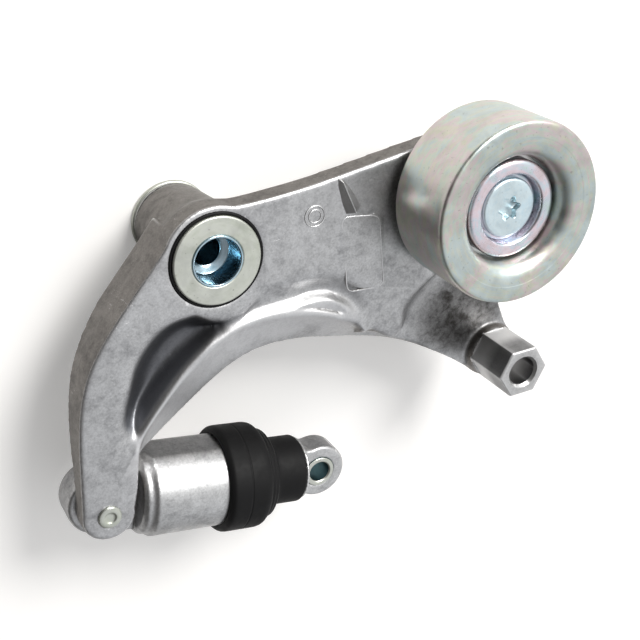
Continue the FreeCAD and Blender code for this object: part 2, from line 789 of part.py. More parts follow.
def pin_clip():
    """The open ring that keeps the strut on its pin."""
    low = strut_level - upper_eye_thickness / 2 - clip_thickness - 0.3
    ring = tube(pin, pin_r - 0.7, pin_r - 0.7 + clip_width, low, low + clip_thickness)
    mouth = Part.makeBox(pin_r * 2, 3.2, clip_thickness + 2)
    mouth.translate(at_height(pin, low - 1) + FreeCAD.Vector(-pin_r * 2, -1.6, 0))
    return ring.cut(mouth)


def strut_spring():
    low = body_bore_start + spring_wire_r + 0.02
    high = rod_flange_start - spring_wire_r - 0.02
    pitch = (high - low) / spring_turns
    path = Part.makeHelix(pitch, high - low, spring_mean_r)
    circle = Part.makeCircle(spring_wire_r, FreeCAD.Vector(spring_mean_r, 0, 0), FreeCAD.Vector(0, 1, 0))
    coil = Part.Wire(path.Edges).makePipeShell([Part.Wire(circle)], True, True)
    coil.translate(FreeCAD.Vector(0, 0, low))
    return lay_on_strut(coil)


def plunger():
    end = rod_flange_start + rod_flange_thickness + plunger_press_depth
    return lay_on_strut(turned([(0, plunger_start + 6), (plunger_well_r, plunger_start + 6),
                                (plunger_well_r, plunger_start), (plunger_r - 0.4, plunger_start),
                                (plunger_r, plunger_start + 0.4), (plunger_r, end), (0, end)]))


def valve_seat():
    low = plunger_start + 1.0
    return lay_on_strut(turned([(valve_ball_r * 0.7, low), (plunger_well_r, low), (plunger_well_r, low + 1.6),
                                (valve_ball_r * 0.9, low + 1.6)]))


def valve_ball():
    return lay_on_strut(Part.makeSphere(valve_ball_r, FreeCAD.Vector(0, 0, plunger_start + 2.6 + valve_ball_r * 0.44)))


def rod_end():
    eye_low = strut_level - lower_eye_thickness / 2
    eye_high = strut_level + lower_eye_thickness / 2
    stem_end = strut_length - lower_bush_r - 1.0
    press_end = rod_flange_start + rod_flange_thickness + plunger_press_depth
    stem = lay_on_strut(turned([
        (plunger_r, rod_flange_start), (rod_flange_r, rod_flange_start),
        (rod_flange_r, rod_flange_start + rod_flange_thickness),
        (rod_neck_r, rod_flange_start + rod_flange_thickness), (rod_neck_r, collar_end + 0.05),
        (collar_stop_r, collar_end + 0.05), (collar_stop_r, collar_end + collar_stop_length),
        (rod_neck_r, collar_end + collar_stop_length + 0.6), (rod_neck_r - 2.5, stem_end),
        (0, stem_end), (0, press_end), (plunger_r, press_end)]))
    eye = turned([(0, eye_low), (lower_eye_r - 0.8, eye_low), (lower_eye_r, eye_low + 0.8),
                  (lower_eye_r, eye_high - 0.8), (lower_eye_r - 0.8, eye_high), (0, eye_high)], lower_eye)
    link = strut_block(collar_end - 1, strut_length, rod_neck_r - 0.3, eye_low, eye_high)
    body = joined([stem, eye, link.common(lay_on_strut(disc(pivot, rod_neck_r + 0.4, 0, strut_length)))])
    return body.cut(disc(lower_eye, lower_bush_r, eye_low - 1, eye_high + 1))


def dust_boot():
    inner = body_r + 0.02
    collar_inner = rod_neck_r + 0.02
    return lay_on_strut(turned([
        (inner, boot_start), (boot_ring_r - 1.6, boot_start), (boot_ring_r, boot_start + 2.0),
        (boot_ring_r, boot_ring_end - 2.0), (boot_ring_r - 1.4, boot_ring_end), (boot_step_r, boot_ring_end + 0.4),
        (boot_step_r - 0.4, boot_step_end - 0.6), (collar_r + 1.2, boot_step_end + 0.8),
        (collar_r, collar_start), (collar_r, collar_end - 0.5), (collar_r - 0.5, collar_end),
        (collar_inner, collar_end), (collar_inner, collar_start + 2.0), (body_r - 2.0, boot_step_end - 2.5),
        (body_r - 2.0, body_end + 0.1), (inner, body_end + 0.1)]))


nodes = {
    "pivot_sleeve": pivot_sleeve(),
    "front_thrust_washer": thrust_washer(front_washer_r, washer_face - washer_thickness),
    "rear_thrust_washer": thrust_washer(rear_washer_r, 0),
    "arm_casting": arm_casting(),
    "front_bush": flanged_bush(recess_floor - bush_length, recess_floor, recess_floor + bush_flange_thickness),
    "rear_bush": flanged_bush(boss_back + bush_length, boss_back, boss_back - bush_flange_thickness),
    "front_seal_ring": tube(pivot, front_washer_r + seal_clearance, front_washer_r + seal_clearance + seal_band_width,
                            recess_floor, recess_floor + seal_band_height),
    "rear_gasket": tube(pivot, boss_rear_r - 0.1 - gasket_width, boss_rear_r - 0.1,
                        washer_thickness + seal_clearance, boss_back),
    "pulley_shell": pulley_shell(),
    "bearing_inner_ring": race(bearing_bore_r, ball_pitch_r - race_shoulder_gap / 2),
    "bearing_outer_ring": race(ball_pitch_r + race_shoulder_gap / 2, bearing_outer_r),
    "bearing_balls": bearing_balls(),
    "bearing_cage": bearing_cage(),
    "front_bearing_seal": bearing_seal(bearing_front - seal_thickness - 0.1),
    "rear_bearing_seal": bearing_seal(bearing_rear + 0.1),
    "front_dust_shield": front_dust_shield(),
    "rear_dust_shield": tube(pulley, bearing_bore_r, rear_shield_r, bearing_rear - 1.0, bearing_rear),
    "pulley_spacer": pulley_spacer(),
    "pulley_bolt": pulley_bolt(),
    "strut_pin": strut_pin(),
    "pin_clip": pin_clip(),
    "strut_body": strut_body(),
    "upper_eye_bush": tube(pin, pin_r + running_clearance, pin_r + running_clearance + eye_bush_wall,
                           strut_level - upper_eye_thickness / 2, strut_level + upper_eye_thickness / 2),
    "strut_spring": strut_spring(),
    "pressure_sleeve": lay_on_strut(tube(pivot, plunger_r + running_clearance / 2, pressure_sleeve_r,
                                         body_bore_start, body_bore_start + pressure_sleeve_length)),
    "plunger": plunger(),
    "valve_seat": valve_seat(),
    "valve_ball": valve_ball(),
    "snap_ring": snap_ring(),
    "guide_ring": guide_ring(),
    "rod_end": rod_end(),
    "lower_eye_bush": tube(lower_eye, lower_bore_r, lower_bush_r, strut_level - lower_eye_thickness / 2 - lower_bush_proud,
                           strut_level + lower_eye_thickness / 2 + lower_bush_proud),
    "dust_boot": dust_boot(),
}

for name, shape in nodes.items():
    save(name, shape)
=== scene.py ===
import json
import math

import bmesh
import bpy
import numpy as np
from mathutils import Matrix, Vector


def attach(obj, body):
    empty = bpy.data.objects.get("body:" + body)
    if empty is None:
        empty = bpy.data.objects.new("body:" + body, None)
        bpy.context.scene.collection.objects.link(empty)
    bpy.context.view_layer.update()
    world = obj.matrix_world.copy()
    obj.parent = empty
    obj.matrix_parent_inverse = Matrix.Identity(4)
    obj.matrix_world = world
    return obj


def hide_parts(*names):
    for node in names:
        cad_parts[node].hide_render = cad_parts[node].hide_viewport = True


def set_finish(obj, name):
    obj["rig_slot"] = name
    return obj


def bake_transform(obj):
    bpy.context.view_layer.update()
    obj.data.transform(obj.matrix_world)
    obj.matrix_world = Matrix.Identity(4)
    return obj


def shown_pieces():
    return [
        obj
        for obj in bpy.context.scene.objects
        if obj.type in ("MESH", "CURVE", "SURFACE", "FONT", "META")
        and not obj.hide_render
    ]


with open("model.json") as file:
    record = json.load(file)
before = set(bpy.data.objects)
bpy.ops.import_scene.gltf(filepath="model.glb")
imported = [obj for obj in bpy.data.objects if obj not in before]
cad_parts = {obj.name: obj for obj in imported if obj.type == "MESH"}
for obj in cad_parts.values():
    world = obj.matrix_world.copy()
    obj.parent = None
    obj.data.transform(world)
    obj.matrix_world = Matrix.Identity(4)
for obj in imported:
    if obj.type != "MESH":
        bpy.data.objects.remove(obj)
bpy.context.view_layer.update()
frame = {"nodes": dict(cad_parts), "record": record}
nodes = frame["nodes"]
scene = bpy.context.scene
MM = 0.001

# ---- places, in millimetres ----
PIVOT = Vector((0.0, 0.0, 0.0))
PULLEY = Vector((98.0, 0.0, 0.0))
HEXAGON = Vector((111.5, -76.0, 0.0))
PIN = Vector((-52.4, -82.6, 0.0))
STRUT_LEVEL = 27.8
STRUT_ANGLE = math.radians(-14.5)
STRUT_LENGTH = 87.4
HEADING = Vector((math.cos(STRUT_ANGLE), math.sin(STRUT_ANGLE), 0.0))
LOWER_EYE = PIN + HEADING * STRUT_LENGTH
ARM_FACE = 42.5
HEXAGON_HOLE = 5.7
PULLEY_FRONT = 75.3
STRUT_PLACE = Matrix.Translation((PIN + Vector((0, 0, STRUT_LEVEL))) * MM) @ Matrix((
    (0.0, -HEADING.y, HEADING.x, 0.0),
    (0.0, HEADING.x, HEADING.y, 0.0),
    (-1.0, 0.0, 0.0, 0.0),
    (0.0, 0.0, 0.0, 1.0),
))


def upright(centre):
    return Matrix.Translation(centre * MM)


# ---- mesh helpers ----
def link(name, data):
    obj = bpy.data.objects.new(name, data)
    scene.collection.objects.link(obj)
    return obj


def mesh_object(name, points, faces, place=Matrix.Identity(4)):
    """A smooth-shaded mesh from points in millimetres."""
    mesh = bpy.data.meshes.new(name)
    mesh.from_pydata([tuple(Vector(p) * MM) for p in points], [], faces)
    mesh.transform(place)
    made = bmesh.new()
    made.from_mesh(mesh)
    bmesh.ops.remove_doubles(made, verts=made.verts, dist=1e-7)
    bmesh.ops.recalc_face_normals(made, faces=made.faces)
    made.to_mesh(mesh)
    made.free()
    mesh.shade_smooth()
    return link(name, mesh)


def even_shading(obj, degrees=40):
    """Keeps flat faces flat beside small rounded edges."""
    obj.data.set_sharp_from_angle(angle=math.radians(degrees))
    weighted = obj.modifiers.new("even shading", "WEIGHTED_NORMAL")
    weighted.keep_sharp = True
    weighted.weight = 80
    return obj


def grid_faces(rows, columns, rows_join, columns_join):
    """The faces of a grid of points, whose last row or column may join the first."""
    faces = []
    for row in range(rows if rows_join else rows - 1):
        next_row = (row + 1) % rows
        for column in range(columns if columns_join else columns - 1):
            next_column = (column + 1) % columns
            faces.append((row * columns + column, next_row * columns + column,
                          next_row * columns + next_column, row * columns + next_column))
    return faces


def rounded(profile, closed=True, steps=4):
    """The profile with a small curve at each corner. A point is (radius, height, rounding)."""
    made = []
    count = len(profile)
    for i, (r, z, rounding) in enumerate(profile):
        here = Vector((r, z))
        if not closed and i in (0, count - 1) or rounding <= 0:
            made.append((r, z))
            continue
        before = Vector(profile[i - 1][:2])
        after = Vector(profile[(i + 1) % count][:2])
        start = here + (before - here).normalized() * min(rounding, 0.45 * (before - here).length)
        end = here + (after - here).normalized() * min(rounding, 0.45 * (after - here).length)
        for k in range(steps + 1):
            t = k / steps
            point = start * (1 - t) ** 2 + here * (2 * t * (1 - t)) + end * t * t
            made.append((point.x, point.y))
    return made


def lathe(name, profile, place, around, closed=True):
    """Turns a profile about the local Z axis."""
    loop = rounded(profile, closed)
    points = []
    for k in range(around):
        angle = 2 * math.pi * k / around
        points.extend([(r * math.cos(angle), r * math.sin(angle), z) for r, z in loop])
    faces = grid_faces(around, len(loop), True, closed)
    return even_shading(mesh_object(name, points, faces, place))


def evaluated(obj):
    """The object with its modifiers applied to its mesh."""
    bpy.context.view_layer.update()
    mesh = bpy.data.meshes.new_from_object(obj.evaluated_get(bpy.context.evaluated_depsgraph_get()))
    obj.modifiers.clear()
    obj.data = mesh
    return obj


def coordinates(mesh):
    """The mesh's points, one row each."""
    flat = np.empty(len(mesh.vertices) * 3)
    mesh.vertices.foreach_get("co", flat)
    return flat.reshape(-1, 3)


def neighbours(mesh):
    """The two points of each edge."""
    flat = np.empty(len(mesh.edges) * 2, dtype=np.int64)
    mesh.edges.foreach_get("vertices", flat)
    return flat.reshape(-1, 2)


def relax(points, edges, passes, weight):
    """Moves each point towards the middle of its neighbours, which rounds every edge."""
    count = len(points)
    degree = np.bincount(edges.ravel(), minlength=count).clip(1)[:, None]
    for _ in range(passes):
        total = np.zeros_like(points)
        for axis in range(3):
            total[:, axis] = (np.bincount(edges[:, 0], points[edges[:, 1], axis], count)
                              + np.bincount(edges[:, 1], points[edges[:, 0], axis], count))
        points = points + (total / degree - points) * weight
    return points


def soft_casting(name, node, voxel, passes, extras=(), weight_at=None):
    """A dense skin over a CAD piece, with its edges rounded as a casting's are."""
    made = bmesh.new()
    made.from_mesh(nodes[node].data)
    for extra in extras:
        made.from_mesh(extra.data)
        bpy.data.objects.remove(extra)
    bmesh.ops.remove_doubles(made, verts=made.verts, dist=1e-7)
    mesh = bpy.data.meshes.new(name)
    made.to_mesh(mesh)
    made.free()
    mesh.materials.clear()
    obj = link(name, mesh)
    remesh = obj.modifiers.new("skin", "REMESH")
    remesh.mode = "VOXEL"
    remesh.voxel_size = voxel * MM
    evaluated(obj)
    points = coordinates(obj.data)
    edges = neighbours(obj.data)
    weight = 0.5 if weight_at is None else weight_at(points / MM)[:, None]
    points = relax(points, edges, passes, weight)
    obj.data.vertices.foreach_set("co", points.ravel())
    obj.data.update()
    return obj


def machined(obj, cutters):
    """Cuts each solid out of obj, with crisp edges."""
    for cutter in cutters:
        step = obj.modifiers.new("machined", "BOOLEAN")
        step.operation = "DIFFERENCE"
        step.solver = "MANIFOLD"
        step.object = cutter
        evaluated(obj)
        bpy.data.objects.remove(cutter)
    return obj


def plug(centre, radius, low, high):
    """A plain solid cylinder between two heights."""
    profile = [(0, low, 0), (radius, low, 0), (radius, high, 0), (0, high, 0)]
    obj = lathe("plug", profile, upright(centre), 96, closed=False)
    obj.modifiers.clear()
    return obj


# ---- arm skin ----
def smoothstep(value, low, high):
    t = np.clip((value - low) / (high - low), 0, 1)
    return t * t * (3 - 2 * t)


# The crest of the hollow side, from its pulley end to the leg. Each point holds x, y, then the depth just
# inside it, where the bed ends and where the far shoulder ends, both measured from the crest.
CREST_CORNERS = np.array([
    (48.5, -38.0, 0.0, 2.0, 8.0), (47.0, -33.0, 2.4, 2.6, 9.0), (41.5, -28.5, 3.8, 3.0, 10.0),
    (35.5, -26.5, 4.4, 3.2, 11.0), (28.0, -26.5, 4.0, 3.0, 12.0), (20.0, -26.0, 3.2, 2.6, 12.5),
    (12.5, -25.5, 3.2, 2.6, 12.0), (4.5, -26.5, 5.0, 3.4, 11.0), (-3.0, -28.5, 8.0, 6.0, 13.0),
    (-11.0, -33.0, 9.0, 9.0, 21.0), (-19.5, -39.0, 9.4, 8.0, 20.5), (-26.0, -45.5, 9.2, 5.4, 16.5),
    (-32.5, -52.0, 8.0, 3.6, 12.0), (-37.0, -58.0, 1.0, 3.0, 8.0),
])


def cut_corners(path, times):
    """The open path with its corners cut again and again, which makes a smooth curve."""
    for _ in range(times):
        first = path[:-1] * 0.75 + path[1:] * 0.25
        second = path[:-1] * 0.25 + path[1:] * 0.75
        between = np.stack([first, second], axis=1).reshape(-1, path.shape[1])
        path = np.vstack([path[:1], between, path[-1:]])
    return path


CREST = cut_corners(CREST_CORNERS, 2)
# The sharp edge of the CAD piece's hollow, from its pulley end to the pivot. The skin is filled from here to the
# crest.
SHARP_CREST = np.array([
    (47.0, -38.0), (40.5, -33.5), (33.5, -31.0), (26.5, -28.5), (19.0, -27.0), (12.0, -26.0), (4.5, -26.5),
])


def beyond_crest(points, crest=CREST):
    """Distance in plan from the crest, positive on the hollow side, and the sizes at its nearest point."""
    plan = points[:, :2]
    nearest = np.full(len(plan), 1e9)
    signed = np.zeros(len(plan))
    sizes = np.zeros((len(plan), crest.shape[1] - 2))
    for start, end in zip(crest, crest[1:]):
        along = end[:2] - start[:2]
        share = np.clip(((plan - start[:2]) @ along) / (along @ along), 0, 1)[:, None]
        away = plan - start[:2] - share * along
        distance = np.hypot(away[:, 0], away[:, 1])
        side = np.sign(along[0] * away[:, 1] - along[1] * away[:, 0])
        closer = distance < nearest
        nearest = np.where(closer, distance, nearest)
        signed = np.where(closer, -side * distance, signed)
        sizes = np.where(closer[:, None], start[2:] + share * (end[2:] - start[2:]), sizes)
    return signed, sizes


# The foot of the pivot boss towards the hollow side: its radius at each angle in degrees, and how steeply the
# dish falls from it.
BOSS_TURNS = [-150, -128, -110, -90, -78, -63, -50, -38, -28]
BOSS_RADII = [18.7, 19.0, 20.4, 22.6, 23.0, 22.6, 21.0, 19.0, 18.7]
BOSS_SLOPE = 1.5
# How wide the slope below the crest is: the least, and what each millimetre of depth adds.
CREST_WALL = 1.3
CREST_WALL_PER_DEPTH = 0.33
# The hollow is shaped only above the first level, and the strip beside the crest is filled only above the
# second.
HOLLOW_LOW = 31.0
BANK_LOW = 36.0
# The pulley end of the crest, which is softened most.
CREST_TIP = Vector((46.5, -39.0))
# Painted shadow over the hollow between the pulley boss and the wrench boss: the middle of an egg shape and its
# half sizes.
NECK_MIDDLE = np.array((99.0, -55.0, 33.0))
NECK_REACH = np.array((27.0, 21.0, 19.0))


def hollow_drop(points):
    """How far the channel and the dish lie below the flat face at each point."""
    x, y, z = points.T
    beyond, sizes = beyond_crest(points)
    depth, bed_end, shoulder_end = sizes.T
    wall = CREST_WALL + CREST_WALL_PER_DEPTH * depth
    drop = depth * smoothstep(beyond / wall, -0.15, 1.0)
    drop = drop * (1 - smoothstep((beyond - bed_end) / (shoulder_end - bed_end), 0.0, 1.0))
    radius = np.hypot(x, y)
    turn = np.degrees(np.arctan2(y, x))
    rim = np.interp(turn, BOSS_TURNS, BOSS_RADII)
    return np.clip(np.minimum(drop, (radius - rim) * BOSS_SLOPE), 0, None) * smoothstep(z, 24, 28)


def hollow_share(points):
    """1 in and beside the channel and the dish, 0 elsewhere."""
    beyond, sizes = beyond_crest(points)
    inside = smoothstep(beyond, -3.0, 0.0) * (1 - smoothstep(beyond, sizes[:, 2], sizes[:, 2] + 4))
    boss = smoothstep(np.hypot(points[:, 0], points[:, 1]), 18.4, 19.4)
    return inside * boss * smoothstep(points[:, 2], 24, 29)


def saddle_share(points):
    """1 over the saddle between the flat face, the pulley boss and the wrench boss."""
    x, y, z = points.T
    reach = np.hypot((x - 82) / 30, (y + 45) / 24)
    hexagon = smoothstep(np.hypot(x - HEXAGON.x, y - HEXAGON.y), 11.0, 13.0)
    return (1 - smoothstep(reach, 0.6, 1.0)) * hexagon * smoothstep(z, 22, 28)


def arm_softness(points):
    """How much each part of the casting is rounded."""
    return 0.05 + 0.5 * saddle_share(points)


def shape_hollow(mesh):
    """Lowers the skin to the channel and the dish, fills the strip beside the crest and softens them."""
    points = coordinates(mesh) / MM
    x, y, z = points.T
    soft = hollow_share(points)
    beyond, sizes = beyond_crest(points)
    shoulder_end = sizes[:, 2]
    within = smoothstep(beyond, -0.5, 0.5) * (1 - smoothstep(beyond, shoulder_end + 1, shoulder_end + 2))
    within = within * soft * (z > HOLLOW_LOW)
    level = ARM_FACE - hollow_drop(points)
    points[:, 2] = z * (1 - within) + level * within
    inner = beyond_crest(points, SHARP_CREST)[0]
    bank = (beyond < 0.3) & (inner > -0.4) & (z > BANK_LOW) & (x > 8) & (x < 52)
    points[:, 2] = np.where(bank, np.maximum(z, ARM_FACE - 0.35 + 0.3 * beyond), z)
    tip = (1 - smoothstep(np.hypot(x - CREST_TIP.x, y - CREST_TIP.y), 3, 7)) * (z > 30)
    points = relax(points, neighbours(mesh), 14, 0.5 * np.maximum(soft, tip)[:, None])
    mesh.vertices.foreach_set("co", (points * MM).ravel())
    mesh.update()


def mark_arm(mesh):
    """Stores the masks for the painted shade in the deep hollow, the painted shadow at the neck and the painted
    highlight on the rail.
    """
    points = coordinates(mesh) / MM
    x, y, z = points.T
    beyond = beyond_crest(points)[0]
    # Painted shade and a painted dark reflection, growing with the depth of the channel.
    hollow_shade_mask = smoothstep(ARM_FACE - z, 0.6, 3.6) * hollow_share(points) * (1 - smoothstep(x, 0, 12))
    neck = np.linalg.norm((points - NECK_MIDDLE) / NECK_REACH, axis=1)
    # Painted highlight along the rail beside the crest.
    rail_highlight = smoothstep(beyond, -16, -10) * (1 - smoothstep(beyond, 0.5, 3.0)) * smoothstep(z, 20, 30)
    rail_highlight = rail_highlight * (1 - smoothstep(x, 40, 56))
    # Painted shadow under the pulley, strongest at the middle of the egg shape.
    stain = 1 - smoothstep(neck, 0.45, 1.05)
    for name, value in (("hollow_shade", hollow_shade_mask), ("neck_shade", stain), ("rail_highlight", rail_highlight)):
        shade = mesh.attributes.new(name, "FLOAT", "POINT")
        shade.data.foreach_set("value", value.astype(np.float32))


def build_arm():
    """The casting: a softened skin whose bores are filled first and cut again with crisp edges."""
    filled_bores = [
        plug(PIVOT, 11.5, 2.86, 40.6),
        plug(PIVOT, 18.0, 35.0, 41.6),
        plug(HEXAGON, 6.5, 26.0, 57.4),
        plug(PULLEY, 5.6, 27.0, 43.9),
        plug(PIN, 4.6, 35.1, 42.4),
    ]
    skin = soft_casting("arm_skin", "arm_casting", 0.7, 44, extras=filled_bores, weight_at=arm_softness)
    shape_hollow(skin.data)
    machined(skin, [
        plug(PIVOT, 10.64, -2, 60),
        plug(PIVOT, 16.9, 40.65, 60),
        plug(PIVOT, 13.3, -2, 2.85),
        plug(PULLEY, 5.05, 25.9, 60),
        plug(PIN, 4.02, 20, 60),
        plug(HEXAGON, HEXAGON_HOLE, 20, 70),
        plug(HEXAGON, 14.0, 38.2, 70),
    ])
    skin.data.set_sharp_from_angle(angle=math.radians(38))
    mark_arm(skin.data)
    return skin


def build_hexagon():
    """The machined wrench hexagon, with its chamfered end and tapered hole."""
    half = 9.5
    corner_r = 0.7
    tilt = -4.0
    reach = half / math.cos(math.pi / 6)
    corners = []
    for side in range(7):
        angle = math.radians(tilt + 60 * side)
        corners.append(Vector((math.cos(angle), math.sin(angle))) * reach)
    loop = []
    for side in range(6):
        angle = math.radians(tilt + 60 * side)
        inner = corners[side] * (1 - corner_r / reach / math.cos(math.pi / 6))
        for k in range(-2, 3):
            direction = Matrix.Rotation(angle + math.radians(k * 14.0), 2) @ Vector((1, 0))
            loop.append(inner + direction * corner_r)
        for share in (0.2, 0.5, 0.8):
            loop.append(corners[side].lerp(corners[side + 1], share))
    round_loop = [p.normalized() for p in loop]
    flanks = [(1.0, 37.4), (1.0, 50.0), (1.0, 56.7), (0.985, 57.2), (0.94, 57.48)]
    hole = [(7.2, 57.5), (6.7, 57.4), (5.75, 56.3), (HEXAGON_HOLE, 56.0), (HEXAGON_HOLE, 37.4)]
    points = [(p.x * share, p.y * share, z) for share, z in flanks for p in loop]
    points += [(p.x * radius, p.y * radius, z) for radius, z in hole for p in round_loop]
    faces = grid_faces(len(flanks) + len(hole), len(loop), True, True)
    return even_shading(mesh_object("wrench_hexagon", points, faces, upright(HEXAGON)), 30)


def build_pointer():
    """The raised pointer: a steep wedge that widens towards the label."""
    foot = [(46.6, 16.6), (46.3, 13.4), (47.0, 7.5), (48.2, 2.8), (51.6, 2.9), (54.6, 5.0), (53.6, 8.0),
            (50.6, 13.2), (48.2, 16.4)]
    points = [(x, y, ARM_FACE - 0.4) for x, y in foot]
    points += [(48.1, 15.0, ARM_FACE + 1.5), (51.3, 3.5, ARM_FACE + 3.0)]
    faces = [
        (0, 1, 9), (1, 2, 9), (2, 10, 9), (2, 3, 10), (3, 4, 10), (4, 5, 10), (5, 6, 10), (6, 7, 9),
        (6, 9, 10), (7, 8, 9), (8, 0, 9), (8, 7, 6, 5, 4, 3, 2, 1, 0),
    ]
    obj = mesh_object("pointer_mark", points, faces)
    bevel = obj.modifiers.new("worn edges", "BEVEL")
    bevel.width = 0.22 * MM
    bevel.segments = 3
    bevel.limit_method = "ANGLE"
    bevel.angle_limit = math.radians(24)
    evaluated(obj)
    return even_shading(obj, 30)


def ribbon(name, path, half_width, height):
    """A low rounded bead that follows a closed path of (x, y) on the face of the arm."""
    section = [(-1.0, -0.3), (-0.75, 0.55), (-0.3, 0.95), (0.3, 0.95), (0.75, 0.55), (1.0, -0.3)]
    count = len(path)
    points = []
    for i, here in enumerate(path):
        onward = (Vector(path[(i + 1) % count]) - Vector(path[i - 1])).normalized()
        side = Vector((-onward.y, onward.x))
        for across, up in section:
            place = Vector(here) + side * (across * half_width)
            points.append((place.x, place.y, ARM_FACE - 0.05 + up * height))
    return mesh_object(name, points, grid_faces(count, len(section), True, False))


def round_corner_path(corners, radius, gap=1.2):
    """A closed path of close points, with each corner rounded."""
    path = rounded([(x, y, radius) for x, y in corners], steps=5)
    made = []
    for i, here in enumerate(path):
        after = path[(i + 1) % len(path)]
        parts = max(1, int(math.dist(here, after) / gap))
        made.extend([tuple(Vector(here).lerp(Vector(after), k / parts)) for k in range(parts)])
    return made


# ---- turned pieces ----
def build_pulley():
    """The pulley's shell: the belt face, the rolled front with its shallow cone, and the bearing's seat."""
    z = PULLEY_FRONT
    profile = [
        (30.0, 46.3, 0.3), (31.6, 46.3, 0.4), (32.5, 47.2, 0.8), (32.5, z - 1.5, 1.2), (31.9, z - 0.35, 0.8),
        (30.9, z, 0.9), (28.6, z - 0.16, 1.0), (26.6, z - 0.30, 0.3), (26.4, z - 0.38, 0.2),
        (24.6, z - 0.6, 1.0), (22.6, z - 1.15, 1.4), (20.9, z - 2.2, 1.4), (19.6, z - 3.9, 1.6),
        (18.72, z - 6.6, 1.2), (18.7, 64.35, 0.2), (20.0, 64.32, 0.1), (20.0, 52.3, 0.1), (19.2, 52.3, 0.1),
        (19.2, 51.5, 0.2), (22.0, 51.5, 0.2), (22.6, 52.1, 0.3), (22.6, 70.7, 0.8), (24.6, 72.7, 0.8),
        (28.5, 72.7, 0.6), (30.0, 71.2, 0.6),
    ]
    return lathe("pulley_turned_shell", profile, upright(PULLEY), 256)


def build_shield():
    """The pressed cup between the bolt's head and the bearing."""
    profile = [
        (5.1, 64.3, 0), (11.7, 64.3, 0.3), (12.9, 65.6, 0.3), (13.1, 68.9, 0.3), (15.9, 68.9, 0.3),
        (16.3, 68.3, 0.3), (16.3, 66.0, 0.2), (17.5, 66.0, 0.2), (17.5, 68.6, 0.4), (17.2, 69.5, 0.7),
        (16.2, 70.02, 0.8), (14.6, 70.1, 0.8), (13.0, 70.0, 0.5), (12.35, 69.3, 0.6), (12.1, 65.9, 0.4),
        (11.4, 65.52, 0.3), (5.1, 65.5, 0),
    ]
    return lathe("front_shield_pressed", profile, upright(PULLEY), 192)


def build_bolt():
    """The bolt: a turned body whose head carries a six-lobed socket."""
    around = 180
    top = 68.5
    socket_r = 3.76
    lobe_rise = 0.66
    body = [(0.02, 26.2), (4.4, 26.2), (4.95, 26.8), (4.95, 65.3), (5.1, 65.5), (10.2, 65.5), (10.6, 65.75),
            (10.7, 66.1), (10.7, 67.3), (10.62, 67.7), (10.4, 68.1), (10.05, 68.38), (9.6, 68.48),
            (8.6, 68.5), (7.0, 68.47), (5.0, 68.44)]
    socket = [(1.06, top - 0.08), (1.01, top - 0.25), (0.985, top - 0.6), (0.95, top - 2.3), (0.6, top - 2.9)]
    angles = [2 * math.pi * k / around for k in range(around)]
    points = [(r * math.cos(angle), r * math.sin(angle), z) for r, z in body for angle in angles]
    for scale, z in socket:
        for angle in angles:
            wave = math.cos(6 * angle)
            r = (socket_r + lobe_rise * (wave * 0.86 + 0.14 * wave ** 3)) * scale
            points.append((r * math.cos(angle), r * math.sin(angle), z))
    levels = len(body) + len(socket)
    faces = grid_faces(levels, around, False, True)
    faces.append(tuple((levels - 1) * around + k for k in range(around)))
    return even_shading(mesh_object("bolt_head_lobed", points, faces, upright(PULLEY)), 35)


def build_sleeve():
    """The pivot sleeve, counterbored at the front for its bolt's head."""
    profile = [(5.1, 0.5, 0), (5.6, 0.0, 0.1), (9.1, 0.0, 0.2), (9.1, 43.45, 0.15), (8.85, 43.7, 0.15),
               (8.4, 43.7, 0.12), (8.1, 43.3, 0.15), (8.1, 34.2, 0.5), (5.9, 33.3, 0.2), (5.1, 32.9, 0.2)]
    return lathe("pivot_sleeve_turned", profile, upright(PIVOT), 160)


def build_washer(name, radius, low):
    """A thrust washer round the sleeve, with rounded rims."""
    high = low + 1.8
    bore = 9.12
    profile = [(bore, low, 0), (radius - 0.3, low, 0.1), (radius, low + 0.3, 0.2),
               (radius, high - 0.35, 0.25), (radius - 0.4, high, 0.3), (9.5, high, 0.15),
               (bore, high - 0.2, 0.1)]
    return lathe(name, profile, upright(PIVOT), 160)


def build_seal_ring():
    """The rubber lip round the front washer."""
    profile = [(15.7, 40.66, 0.1), (16.88, 40.66, 0.1), (16.88, 42.2, 0.4), (16.4, 42.6, 0.3),
               (16.1, 42.6, 0.3), (15.7, 42.3, 0.2)]
    return lathe("front_seal_lip", profile, upright(PIVOT), 160)


def build_pin():
    """The strut's pin, whose front end is peened over."""
    profile = [(0, 19.0, 0), (3.5, 19.0, 0.2), (4.0, 19.6, 0.2), (4.0, 42.45, 0.1), (4.3, 42.6, 0.1),
               (4.28, 42.9, 0.2), (3.9, 43.25, 0.3), (3.1, 43.4, 0.3), (2.3, 43.38, 0.3), (1.8, 43.0, 0.3),
               (1.2, 42.85, 0.3), (0, 42.85, 0)]
    return lathe("strut_pin_peened", profile, upright(PIN), 96, closed=False)


def build_lower_bush():
    """The steel sleeve in the strut's free eye."""
    half_length = 5.9
    low = STRUT_LEVEL - half_length
    high = STRUT_LEVEL + half_length
    profile = [(4.1, low + 0.3, 0.1), (4.4, low, 0.1), (5.8, low, 0.1), (6.1, low + 0.3, 0.1),
               (6.1, high - 0.3, 0.2), (5.8, high, 0.2), (4.6, high, 0.2), (4.1, high - 0.45, 0.2)]
    return lathe("lower_eye_sleeve", profile, upright(LOWER_EYE), 96)


